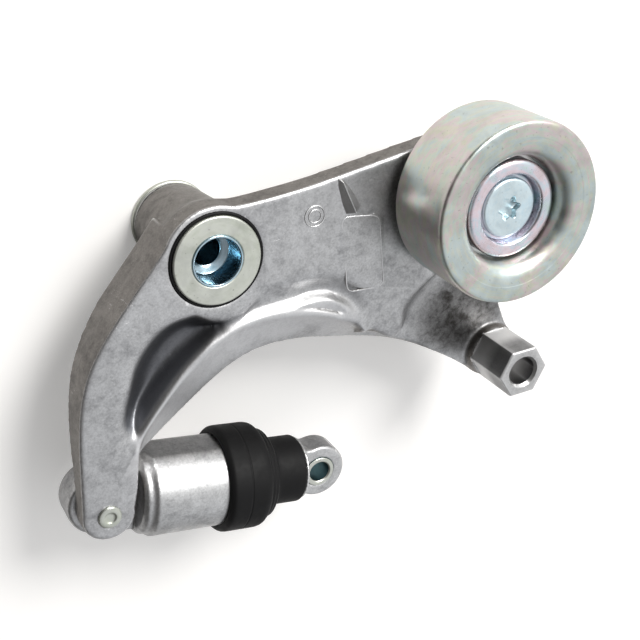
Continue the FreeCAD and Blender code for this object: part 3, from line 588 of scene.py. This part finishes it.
def build_boot():
    """The rubber boot: a fat ring with a mould seam, a step and a soft collar."""
    profile = [
        (17.22, 44.0, 0.1), (18.3, 44.0, 0.5), (19.0, 44.5, 0.6), (19.85, 45.6, 0.8), (20.0, 47.0, 0.6),
        (20.0, 51.9, 0.2), (19.86, 52.15, 0.1), (19.86, 52.45, 0.1), (20.0, 52.7, 0.2), (20.0, 58.4, 0.8),
        (19.6, 60.0, 0.8), (18.6, 61.0, 0.6), (17.75, 61.25, 0.3), (17.5, 61.7, 0.3), (17.5, 62.5, 0.4),
        (17.1, 63.0, 0.3), (16.95, 63.5, 0.3), (16.9, 64.1, 0.5), (15.6, 65.1, 0.8), (13.7, 65.5, 0.7),
        (13.05, 66.4, 0.6), (12.9, 67.6, 0.5), (12.88, 70.2, 0.3), (12.9, 77.6, 0.3), (12.6, 78.2, 0.3),
        (11.6, 78.45, 0.3), (10.45, 78.45, 0.1), (10.45, 69.0, 0.4), (14.9, 62.8, 0.4), (14.9, 62.15, 0.1),
        (17.22, 62.15, 0.1),
    ]
    return lathe("rubber_boot", profile, STRUT_PLACE, 192)


def build_spring():
    """The coil spring inside the strut body."""
    low = 28.42
    high = 53.58
    coil_r = 11.4
    wire_r = 1.38
    turns = 4.5
    steps = 220
    section = 14
    up = Vector((0, 0, 1))
    points = []
    for i in range(steps + 1):
        t = i / steps
        angle = 2 * math.pi * turns * t
        out = Vector((math.cos(angle), math.sin(angle), 0))
        centre = out * coil_r + Vector((0, 0, low + (high - low) * t))
        for k in range(section):
            swing = 2 * math.pi * k / section
            points.append(centre + (out * math.cos(swing) + up * math.sin(swing)) * wire_r)
    faces = grid_faces(steps + 1, section, False, True)
    faces.append(tuple(range(section)))
    faces.append(tuple(steps * section + k for k in range(section)))
    return mesh_object("strut_coil_spring", points, faces, STRUT_PLACE)


# ---- pieces, their bodies and what they stand for ----
def place_piece(obj, body, slot, *stands_for):
    """Fixes a piece to its body and its finish, in place of the CAD pieces it stands for."""
    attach(obj, body)
    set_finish(obj, slot)
    if stands_for:
        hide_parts(*stands_for)
    return obj


def along(u):
    """The point on the strut's axis this many millimetres from its pin."""
    return (PIN + Vector((0, 0, STRUT_LEVEL)) + HEADING * u) * MM


place_piece(build_arm(), "arm", "die_cast_aluminium", "arm_casting")
wrench_hexagon = place_piece(build_hexagon(), "arm", "die_cast_aluminium")
place_piece(build_pointer(), "arm", "die_cast_aluminium")
label_path = round_corner_path([(46.9, 2.2), (61.6, -1.0), (61.2, -28.6), (46.4, -26.6)], 3.2)
place_piece(ribbon("label_bead", label_path, 0.36, 0.34), "arm", "die_cast_aluminium")
ring_turns = [k * math.pi / 30 for k in range(60)]
for mark, radius in (("round_mark_rim", 3.7), ("round_mark_ring", 2.3)):
    mark_path = [(36.9 + radius * math.cos(turn), 5.4 + radius * math.sin(turn)) for turn in ring_turns]
    place_piece(ribbon(mark, mark_path, 0.34, 0.34), "arm", "die_cast_aluminium")
place_piece(build_pulley(), "pulley", "yellow_zinc", "pulley_shell")
shield = place_piece(build_shield(), "arm", "yellow_zinc", "front_dust_shield")
place_piece(build_bolt(), "arm", "bright_zinc", "pulley_bolt")
sleeve = place_piece(build_sleeve(), "pivot", "bright_zinc", "pivot_sleeve")
place_piece(build_washer("front_washer_turned", 15.6, 41.7), "pivot", "pale_zinc", "front_thrust_washer")
place_piece(build_washer("rear_washer_turned", 14.8, 0.0), "pivot", "pale_zinc", "rear_thrust_washer")
place_piece(build_seal_ring(), "arm", "black_rubber", "front_seal_ring")
strut_pin = place_piece(build_pin(), "arm", "bright_zinc", "strut_pin")
lower_bush = place_piece(build_lower_bush(), "rod", "pale_zinc", "lower_eye_bush")
place_piece(soft_casting("strut_body_skin", "strut_body", 0.5, 5), "strut", "strut_aluminium", "strut_body")
place_piece(soft_casting("rod_end_skin", "rod_end", 0.42, 5), "rod", "strut_aluminium", "rod_end")

# The boot and the spring lie between the strut and the rod. In the real part they shorten as the rod goes in;
# here they keep their built length.
boot = build_boot()
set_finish(boot, "black_rubber")
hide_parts("dust_boot")
evaluated(boot)
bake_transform(boot)
spring = build_spring()
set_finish(spring, "spring_steel")
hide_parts("strut_spring")
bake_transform(spring)


# ---- shared shader effects ----
def group(name, inputs, outputs):
    """An empty node group with its sockets: (name, kind, default)."""
    tree = bpy.data.node_groups.new(name, "ShaderNodeTree")
    for label, kind, default in inputs:
        socket = tree.interface.new_socket(name=label, in_out="INPUT", socket_type=kind)
        socket.default_value = default
    for label, kind in outputs:
        tree.interface.new_socket(name=label, in_out="OUTPUT", socket_type=kind)
    return tree, tree.nodes.new("NodeGroupInput"), tree.nodes.new("NodeGroupOutput")


def noise(tree, vector, scale, detail, rough, distortion=0.0):
    node = tree.nodes.new("ShaderNodeTexNoise")
    node.inputs["Scale"].default_value = scale
    node.inputs["Detail"].default_value = detail
    node.inputs["Roughness"].default_value = rough
    node.inputs["Distortion"].default_value = distortion
    tree.links.new(vector, node.inputs["Vector"])
    return node.outputs["Fac"]


def spread(tree, value, low, high, to_low=0.0, to_high=1.0):
    """Eases the value from to_low to to_high as it goes from low to high."""
    node = tree.nodes.new("ShaderNodeMapRange")
    node.interpolation_type = "SMOOTHSTEP"
    node.inputs["From Min"].default_value = low
    node.inputs["From Max"].default_value = high
    node.inputs["To Min"].default_value = to_low
    node.inputs["To Max"].default_value = to_high
    tree.links.new(value, node.inputs["Value"])
    return node.outputs["Result"]


def maths(tree, operation, first, second, clamp=False):
    """One sum of two numbers or sockets."""
    node = tree.nodes.new("ShaderNodeMath")
    node.operation = operation
    node.use_clamp = clamp
    for socket, value in zip(node.inputs, (first, second)):
        if isinstance(value, (int, float)):
            socket.default_value = value
        else:
            tree.links.new(value, socket)
    return node.outputs["Value"]


def stretched(tree, vector, scale, turn):
    node = tree.nodes.new("ShaderNodeMapping")
    node.inputs["Scale"].default_value = scale
    node.inputs["Rotation"].default_value = turn
    tree.links.new(vector, node.inputs["Vector"])
    return node.outputs["Vector"]


def ramp(tree, value, stops):
    """A colour by value, from stops of (value, colour)."""
    node = tree.nodes.new("ShaderNodeValToRGB")
    for element, (position, colour) in zip(node.color_ramp.elements, (stops[0], stops[-1])):
        element.position = position
        element.color = (*colour, 1)
    for position, colour in stops[1:-1]:
        node.color_ramp.elements.new(position).color = (*colour, 1)
    tree.links.new(value, node.inputs["Fac"])
    return node.outputs["Color"]


def blend_colour(tree, share, first, second, mode="MIX"):
    """The first colour with a share of the second, each a colour or a socket."""
    node = tree.nodes.new("ShaderNodeMix")
    node.data_type = "RGBA"
    node.blend_type = mode
    for label, value in (("Factor", share), ("A", first), ("B", second)):
        socket = node.inputs[label]
        if isinstance(value, (int, float)):
            socket.default_value = value
        elif isinstance(value, tuple):
            socket.default_value = (*value, 1)
        else:
            tree.links.new(value, socket)
    return node.outputs["Result"]


def make_cast_marks():
    """Mottling, grain, fine scratches and dark stains of a die-cast surface."""
    tree, entry, out = group("cast marks", [("Vector", "NodeSocketVector", (0, 0, 0))], [
        ("Mottle", "NodeSocketFloat"), ("Grain", "NodeSocketFloat"), ("Scratches", "NodeSocketFloat"),
        ("Stain", "NodeSocketFloat"), ("Height", "NodeSocketFloat"),
    ])
    place = entry.outputs["Vector"]
    broad = noise(tree, place, 70, 4, 0.6, 0.8)
    patchy = noise(tree, place, 330, 6, 0.7, 0.5)
    mottle = maths(tree, "ADD", maths(tree, "MULTIPLY", broad, 0.5), maths(tree, "MULTIPLY", patchy, 0.5))
    grain = noise(tree, place, 1400, 3, 0.6)
    first = noise(tree, stretched(tree, place, (260, 3200, 700), (0, 0, 0.7)), 1, 2, 0.5)
    second = noise(tree, stretched(tree, place, (3000, 210, 600), (0, 0, -0.35)), 1, 2, 0.5)
    scratches = maths(tree, "ADD", spread(tree, first, 0.66, 0.76), spread(tree, second, 0.67, 0.77), True)
    broken = spread(tree, noise(tree, place, 60, 3, 0.5), 0.45, 0.62)
    scratches = maths(tree, "MULTIPLY", scratches, broken)
    stained = spread(tree, noise(tree, place, 42, 8, 0.72, 1.2), 0.55, 0.74)
    worn_off = spread(tree, noise(tree, place, 210, 5, 0.7), 0.4, 0.68)
    stain = maths(tree, "MULTIPLY", stained, worn_off)
    height = maths(tree, "ADD", maths(tree, "MULTIPLY", mottle, 0.55), maths(tree, "MULTIPLY", grain, 0.3))
    height = maths(tree, "SUBTRACT", height, maths(tree, "MULTIPLY", scratches, 0.22))
    for label, value in (("Mottle", mottle), ("Grain", grain), ("Scratches", scratches), ("Stain", stain),
                         ("Height", height)):
        tree.links.new(value, out.inputs[label])
    return tree


def make_turning_lines():
    """Fine rings left by a lathe about the upright axis through Centre."""
    tree, entry, out = group("turning lines", [
        ("Vector", "NodeSocketVector", (0, 0, 0)), ("Centre", "NodeSocketVector", (0, 0, 0)),
    ], [("Rings", "NodeSocketFloat"), ("Smear", "NodeSocketFloat")])
    offset = tree.nodes.new("ShaderNodeVectorMath")
    offset.operation = "SUBTRACT"
    tree.links.new(entry.outputs["Vector"], offset.inputs[0])
    tree.links.new(entry.outputs["Centre"], offset.inputs[1])
    apart = tree.nodes.new("ShaderNodeSeparateXYZ")
    tree.links.new(offset.outputs["Vector"], apart.inputs["Vector"])
    squared = maths(tree, "ADD", maths(tree, "MULTIPLY", apart.outputs["X"], apart.outputs["X"]),
                    maths(tree, "MULTIPLY", apart.outputs["Y"], apart.outputs["Y"]))
    radius = maths(tree, "SQRT", squared, 0)
    angle = maths(tree, "ARCTAN2", apart.outputs["Y"], apart.outputs["X"])
    for label, fineness, detail in (("Rings", (4200, 0.9, 4200), 2), ("Smear", (700, 2.2, 500), 4)):
        joined = tree.nodes.new("ShaderNodeCombineXYZ")
        for axis, value, scale in zip("XYZ", (radius, angle, apart.outputs["Z"]), fineness):
            tree.links.new(maths(tree, "MULTIPLY", value, scale), joined.inputs[axis])
        tree.links.new(noise(tree, joined.outputs["Vector"], 1, detail, 0.6), out.inputs[label])
    return tree


def make_passivation():
    """Slow drifts of tint over a zinc coat, and small dull marks."""
    tree, entry, out = group("passivation", [("Vector", "NodeSocketVector", (0, 0, 0))], [
        ("Tint", "NodeSocketFloat"), ("Cloud", "NodeSocketFloat"), ("Specks", "NodeSocketFloat"),
    ])
    place = entry.outputs["Vector"]
    tint = noise(tree, place, 38, 5, 0.6, 1.6)
    cloud = noise(tree, place, 120, 6, 0.65, 0.4)
    specks = spread(tree, noise(tree, place, 900, 2, 0.5), 0.66, 0.74)
    for label, value in (("Tint", tint), ("Cloud", cloud), ("Specks", specks)):
        tree.links.new(value, out.inputs[label])
    return tree


CAST = make_cast_marks()
TURNED = make_turning_lines()
ZINC = make_passivation()


# ---- materials ----
def material(name):
    """A new material, its nodes, its shader and the place on the object."""
    made = bpy.data.materials.new(name)
    made.use_nodes = True
    tree = made.node_tree
    shader = tree.nodes["Principled BSDF"]
    place = tree.nodes.new("ShaderNodeTexCoord").outputs["Object"]
    return made, tree, shader, place


def effect(tree, kind, place, **inputs):
    """A shared effect with this material's own values."""
    node = tree.nodes.new("ShaderNodeGroup")
    node.node_tree = kind
    tree.links.new(place, node.inputs["Vector"])
    for label, value in inputs.items():
        node.inputs[label].default_value = value
    return node


def bump(tree, shader, height, distance):
    node = tree.nodes.new("ShaderNodeBump")
    node.inputs["Distance"].default_value = distance
    tree.links.new(height, node.inputs["Height"])
    tree.links.new(node.outputs["Normal"], shader.inputs["Normal"])


def edge_mask(tree, low, high):
    """Where the surface is convex, or concave with low above high."""
    geometry = tree.nodes.new("ShaderNodeNewGeometry")
    return spread(tree, geometry.outputs["Pointiness"], low, high)


def facing_front(tree, low, high):
    """Where the surface looks to the front of the object."""
    geometry = tree.nodes.new("ShaderNodeNewGeometry")
    apart = tree.nodes.new("ShaderNodeSeparateXYZ")
    tree.links.new(geometry.outputs["True Normal"], apart.inputs["Vector"])
    return spread(tree, apart.outputs["Z"], low, high)


def attribute(tree, name):
    """A mask stored on the mesh."""
    node = tree.nodes.new("ShaderNodeAttribute")
    node.attribute_name = name
    return node.outputs["Fac"]


DIRT = (0.10, 0.09, 0.085)
CREVICE_SHADE = (0.09, 0.085, 0.08)
RAIL_HIGHLIGHT = (0.82, 0.82, 0.83)
HOLLOW_SHADE = (0.10, 0.105, 0.12)
NECK_SHADE = (0.035, 0.031, 0.027)
DULL_SPECK = (0.2, 0.2, 0.18)
DRY_SPECK = (0.3, 0.3, 0.29)


def die_cast(name, face, side, scratch_and_highlight, bump_depth=0.00012, with_painted_light=False):
    """Mottled cast metal. Walls that don't face the front take the darker side colour as painted shade, concave
    creases get painted shade and convex edges a painted highlight. The last switch adds a painted highlight on
    the casting's rail and painted shade in its hollow and at its neck.
    """
    made, tree, shader, place = material(name)
    marks = effect(tree, CAST, place)
    # Painted shade: walls that don't face the front take the darker side colour.
    front = facing_front(tree, 0.25, 0.8)
    colour = blend_colour(tree, front, side, face)
    tone = ramp(tree, marks.outputs["Mottle"], [
        (0.32, (0.52, 0.52, 0.53)), (0.5, (0.86, 0.86, 0.86)), (0.66, (1, 1, 1)),
    ])
    colour = blend_colour(tree, 1.0, colour, tone, "MULTIPLY")
    speckle = ramp(tree, marks.outputs["Grain"], [(0.3, (0.72, 0.72, 0.72)), (0.6, (1, 1, 1))])
    colour = blend_colour(tree, 0.8, colour, speckle, "MULTIPLY")
    colour = blend_colour(tree, maths(tree, "MULTIPLY", marks.outputs["Stain"], 0.6), colour, DIRT)
    colour = blend_colour(tree, maths(tree, "MULTIPLY", marks.outputs["Scratches"], 0.35), colour, scratch_and_highlight)
    # Painted highlight: convex edges get the bright colour, which also colours the real scratches above.
    colour = blend_colour(tree, maths(tree, "MULTIPLY", edge_mask(tree, 0.515, 0.56), 0.75), colour, scratch_and_highlight)
    # Painted shade: concave creases are darkened.
    crevice_shade = edge_mask(tree, 0.49, 0.44)
    colour = blend_colour(tree, maths(tree, "MULTIPLY", crevice_shade, 0.45), colour, CREVICE_SHADE)
    if with_painted_light:
        # Painted highlight along the rail beside the crest.
        rail_highlight = maths(tree, "MULTIPLY", attribute(tree, "rail_highlight"), 0.5)
        colour = blend_colour(tree, rail_highlight, colour, RAIL_HIGHLIGHT)
        # Painted shade and a painted dark reflection deep in the channel.
        depth = maths(tree, "MULTIPLY", attribute(tree, "hollow_shade"), 0.8)
        colour = blend_colour(tree, depth, colour, HOLLOW_SHADE)
        # Painted shadow at the neck, broken up by the mottle.
        patchy = spread(tree, marks.outputs["Mottle"], 0.3, 0.62, 1.0, 0.62)
        neck = maths(tree, "MULTIPLY", attribute(tree, "neck_shade"), patchy)
        colour = blend_colour(tree, neck, colour, NECK_SHADE)
    tree.links.new(colour, shader.inputs["Base Color"])
    shader.inputs["Metallic"].default_value = 1.0
    rough = spread(tree, marks.outputs["Mottle"], 0.3, 0.7, 0.5, 0.36)
    rough = maths(tree, "ADD", rough, maths(tree, "MULTIPLY", marks.outputs["Stain"], 0.2))
    tree.links.new(rough, shader.inputs["Roughness"])
    bump(tree, shader, marks.outputs["Height"], bump_depth)
    return made


def zinc(name, stops, centre, rough_low, rough_high, wall=None):
    """Metal turned about the centre. wall is painted shade: the darker tint given to the faces that don't look
    to the front.
    """
    made, tree, shader, place = material(name)
    coat = effect(tree, ZINC, place)
    lines = effect(tree, TURNED, place, Centre=tuple(centre * MM))
    mixed = maths(tree, "ADD", maths(tree, "MULTIPLY", coat.outputs["Tint"], 0.62),
                  maths(tree, "MULTIPLY", lines.outputs["Smear"], 0.38))
    colour = ramp(tree, mixed, stops)
    if wall:
        # Painted shade on the walls that don't face the front.
        colour = blend_colour(tree, facing_front(tree, 0.1, 0.6), wall, colour)
    shade = ramp(tree, coat.outputs["Cloud"], [(0.3, (0.8, 0.8, 0.8)), (0.6, (1, 1, 1))])
    colour = blend_colour(tree, 1.0, colour, shade, "MULTIPLY")
    colour = blend_colour(tree, maths(tree, "MULTIPLY", coat.outputs["Specks"], 0.35), colour, DULL_SPECK)
    tree.links.new(colour, shader.inputs["Base Color"])
    shader.inputs["Metallic"].default_value = 1.0
    rough = spread(tree, coat.outputs["Cloud"], 0.3, 0.7, rough_low, rough_high)
    tree.links.new(rough, shader.inputs["Roughness"])
    height = maths(tree, "ADD", lines.outputs["Rings"], maths(tree, "MULTIPLY", coat.outputs["Cloud"], 0.8))
    bump(tree, shader, height, 0.00001)
    return made


def rubber(name, base, dust):
    """Dull black rubber with a little dust."""
    made, tree, shader, place = material(name)
    marks = effect(tree, CAST, place)
    coat = effect(tree, ZINC, place)
    colour = blend_colour(tree, maths(tree, "MULTIPLY", marks.outputs["Mottle"], 0.35), base, dust)
    sparse = maths(tree, "MULTIPLY", coat.outputs["Specks"], marks.outputs["Stain"])
    colour = blend_colour(tree, maths(tree, "MULTIPLY", sparse, 0.6), colour, DRY_SPECK)
    tree.links.new(colour, shader.inputs["Base Color"])
    tree.links.new(spread(tree, marks.outputs["Mottle"], 0.3, 0.7, 0.5, 0.68), shader.inputs["Roughness"])
    shader.inputs["Specular IOR Level"].default_value = 0.22
    bump(tree, shader, marks.outputs["Height"], 0.00008)
    return made


# Each tint is a list of stops: the drift of the coat, and the colour there.
FACE_TINTS = [
    (0.34, (0.60, 0.63, 0.54)), (0.42, (0.64, 0.63, 0.53)), (0.47, (0.67, 0.58, 0.60)),
    (0.52, (0.60, 0.65, 0.56)), (0.57, (0.55, 0.63, 0.64)), (0.66, (0.62, 0.65, 0.58)),
]
SHIELD_TINTS = [
    (0.36, (0.66, 0.72, 0.66)), (0.44, (0.80, 0.68, 0.72)), (0.5, (0.84, 0.74, 0.80)),
    (0.56, (0.70, 0.76, 0.84)), (0.64, (0.66, 0.80, 0.76)),
]
PALE = [(0.36, (0.60, 0.63, 0.55)), (0.5, (0.68, 0.70, 0.64)), (0.62, (0.65, 0.67, 0.62))]
BLUISH = [(0.36, (0.62, 0.78, 0.86)), (0.5, (0.76, 0.88, 0.92)), (0.62, (0.66, 0.82, 0.90))]
STEEL_BLUE = [(0.36, (0.40, 0.58, 0.68)), (0.5, (0.56, 0.70, 0.78)), (0.62, (0.44, 0.62, 0.72))]
BEARING_STEEL = [(0.35, (0.5, 0.5, 0.5)), (0.65, (0.62, 0.62, 0.62))]
SPRING_STEEL = [(0.35, (0.2, 0.2, 0.21)), (0.65, (0.32, 0.32, 0.33))]
BRONZE = [(0.35, (0.42, 0.27, 0.12)), (0.65, (0.56, 0.38, 0.19))]

SLOTS = {
    "die_cast_aluminium": die_cast(
        "die cast aluminium", (0.66, 0.665, 0.675), (0.26, 0.245, 0.23), (0.86, 0.86, 0.87), with_painted_light=True),
    "strut_aluminium": die_cast(
        "strut aluminium", (0.70, 0.705, 0.71), (0.56, 0.56, 0.565), (0.92, 0.92, 0.92), 0.00007),
    "yellow_zinc": zinc("yellow zinc", FACE_TINTS, PULLEY, 0.34, 0.46),
    "pale_zinc": zinc("pale zinc", PALE, PIVOT, 0.42, 0.55),
    "bright_zinc": zinc("bright zinc bolt", BLUISH, PULLEY, 0.3, 0.42),
    "bearing_steel": zinc("bearing steel", BEARING_STEEL, PULLEY, 0.12, 0.22),
    "spring_steel": zinc("spring steel", SPRING_STEEL, PIN, 0.3, 0.45),
    "bush_bronze": zinc("bush bronze", BRONZE, PIVOT, 0.35, 0.5),
    "black_rubber": rubber("black rubber", (0.003, 0.003, 0.0035), (0.011, 0.011, 0.011)),
}
# Pieces whose finish is cut or plated apart from the rest of their slot, some with their own painted shade on
# the walls that don't face the front.
OWN_FINISHES = (
    (wrench_hexagon, die_cast(
        "machined hexagon", (0.62, 0.62, 0.62), (0.2, 0.2, 0.205), (0.8, 0.8, 0.8), 0.00004)),
    (shield, zinc("yellow zinc shield", SHIELD_TINTS, PULLEY, 0.24, 0.36)),
    (lower_bush, zinc("pale zinc bush", PALE, LOWER_EYE, 0.3, 0.45, wall=(0.10, 0.19, 0.21))),
    (sleeve, zinc("bright zinc sleeve", STEEL_BLUE, PIVOT, 0.16, 0.3, wall=(0.30, 0.48, 0.58))),
    (strut_pin, zinc("bright zinc pin", PALE, PIN, 0.25, 0.4)),
)


def paint(obj, finish):
    obj.data.materials.clear()
    obj.data.materials.append(finish)


node_slots = {}
for entry in frame["record"].get("materials", []):
    for node in entry.get("nodes", []):
        node_slots[node] = entry["slot"]
for name, obj in nodes.items():
    paint(obj, SLOTS.get(node_slots.get(name), SLOTS["bearing_steel"]))
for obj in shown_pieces():
    if "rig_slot" in obj:
        paint(obj, SLOTS[obj["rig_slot"]])
for obj, finish in OWN_FINISHES:
    paint(obj, finish)

# ---- floor, light and camera ----
bpy.ops.mesh.primitive_grid_add(x_subdivisions=2, y_subdivisions=2, size=2.4, location=(0.03, -0.03, -0.0004))
floor = bpy.context.object
floor.name = "studio_floor"
floor_material, tree, shader, place = material("studio floor")
tone = ramp(tree, noise(tree, place, 6, 3, 0.5), [(0.3, (0.86, 0.85, 0.835)), (0.7, (0.88, 0.87, 0.86))])
tree.links.new(tone, shader.inputs["Base Color"])
shader.inputs["Roughness"].default_value = 0.9
shader.inputs["Specular IOR Level"].default_value = 0.1
seen = tree.nodes.new("ShaderNodeLightPath")
shader.inputs["Emission Color"].default_value = (1.0, 0.995, 0.98, 1)
glow = maths(tree, "MULTIPLY", seen.outputs["Is Camera Ray"], 0.24)
tree.links.new(glow, shader.inputs["Emission Strength"])
paint(floor, floor_material)

EYE = Vector((-0.1137, 0.15831, 0.36255))
TARGET = Vector((0.03437, -0.03334, 0.0435))
ABOVE = Vector((0.293, 0.8735, -0.3887))

lamp = bpy.data.lights.new("key light", "AREA")
lamp.shape = "DISK"
lamp.size = 0.6
lamp.energy = 15.0
lamp.color = (1.0, 0.985, 0.96)
key_light = link("key light", lamp)
key_light.location = Vector((0.5, 0.72, 0.85))
key_light.rotation_euler = (TARGET - key_light.location).to_track_quat("-Z", "Y").to_euler()

world = bpy.data.worlds.new("studio")
scene.world = world
world.use_nodes = True
tree = world.node_tree
background = tree.nodes["Background"]
direction = tree.nodes.new("ShaderNodeTexCoord").outputs["Generated"]
apart = tree.nodes.new("ShaderNodeSeparateXYZ")
tree.links.new(direction, apart.inputs["Vector"])
upward = maths(tree, "MULTIPLY", apart.outputs["Z"], 0.5)
sideways = maths(tree, "MULTIPLY", apart.outputs["X"], 0.8)
lean = maths(tree, "ADD", upward, sideways)
lean = maths(tree, "SUBTRACT", lean, maths(tree, "MULTIPLY", apart.outputs["Y"], 0.15))
sky = ramp(tree, spread(tree, lean, -0.8, 1.0), [
    (0.0, (0.05, 0.048, 0.045)), (0.4, (0.16, 0.155, 0.15)), (0.65, (0.5, 0.5, 0.51)),
    (0.85, (0.92, 0.93, 0.95)), (1.0, (1, 1, 1)),
])
tree.links.new(sky, background.inputs["Color"])
background.inputs["Strength"].default_value = 0.85

camera_data = bpy.data.cameras.new("camera")
camera_data.lens = 64.02
camera_data.sensor_width = 36.0
camera_data.clip_start = 0.01
camera_data.dof.use_dof = False
camera = link("camera", camera_data)
scene.camera = camera
ahead = (TARGET - EYE).normalized()
right = ahead.cross(ABOVE).normalized()
up = right.cross(ahead)
camera.matrix_world = Matrix((
    (right.x, up.x, -ahead.x, EYE.x),
    (right.y, up.y, -ahead.y, EYE.y),
    (right.z, up.z, -ahead.z, EYE.z),
    (0, 0, 0, 1),
))
scene.view_settings.view_transform = "Standard"
scene.view_settings.look = "None"
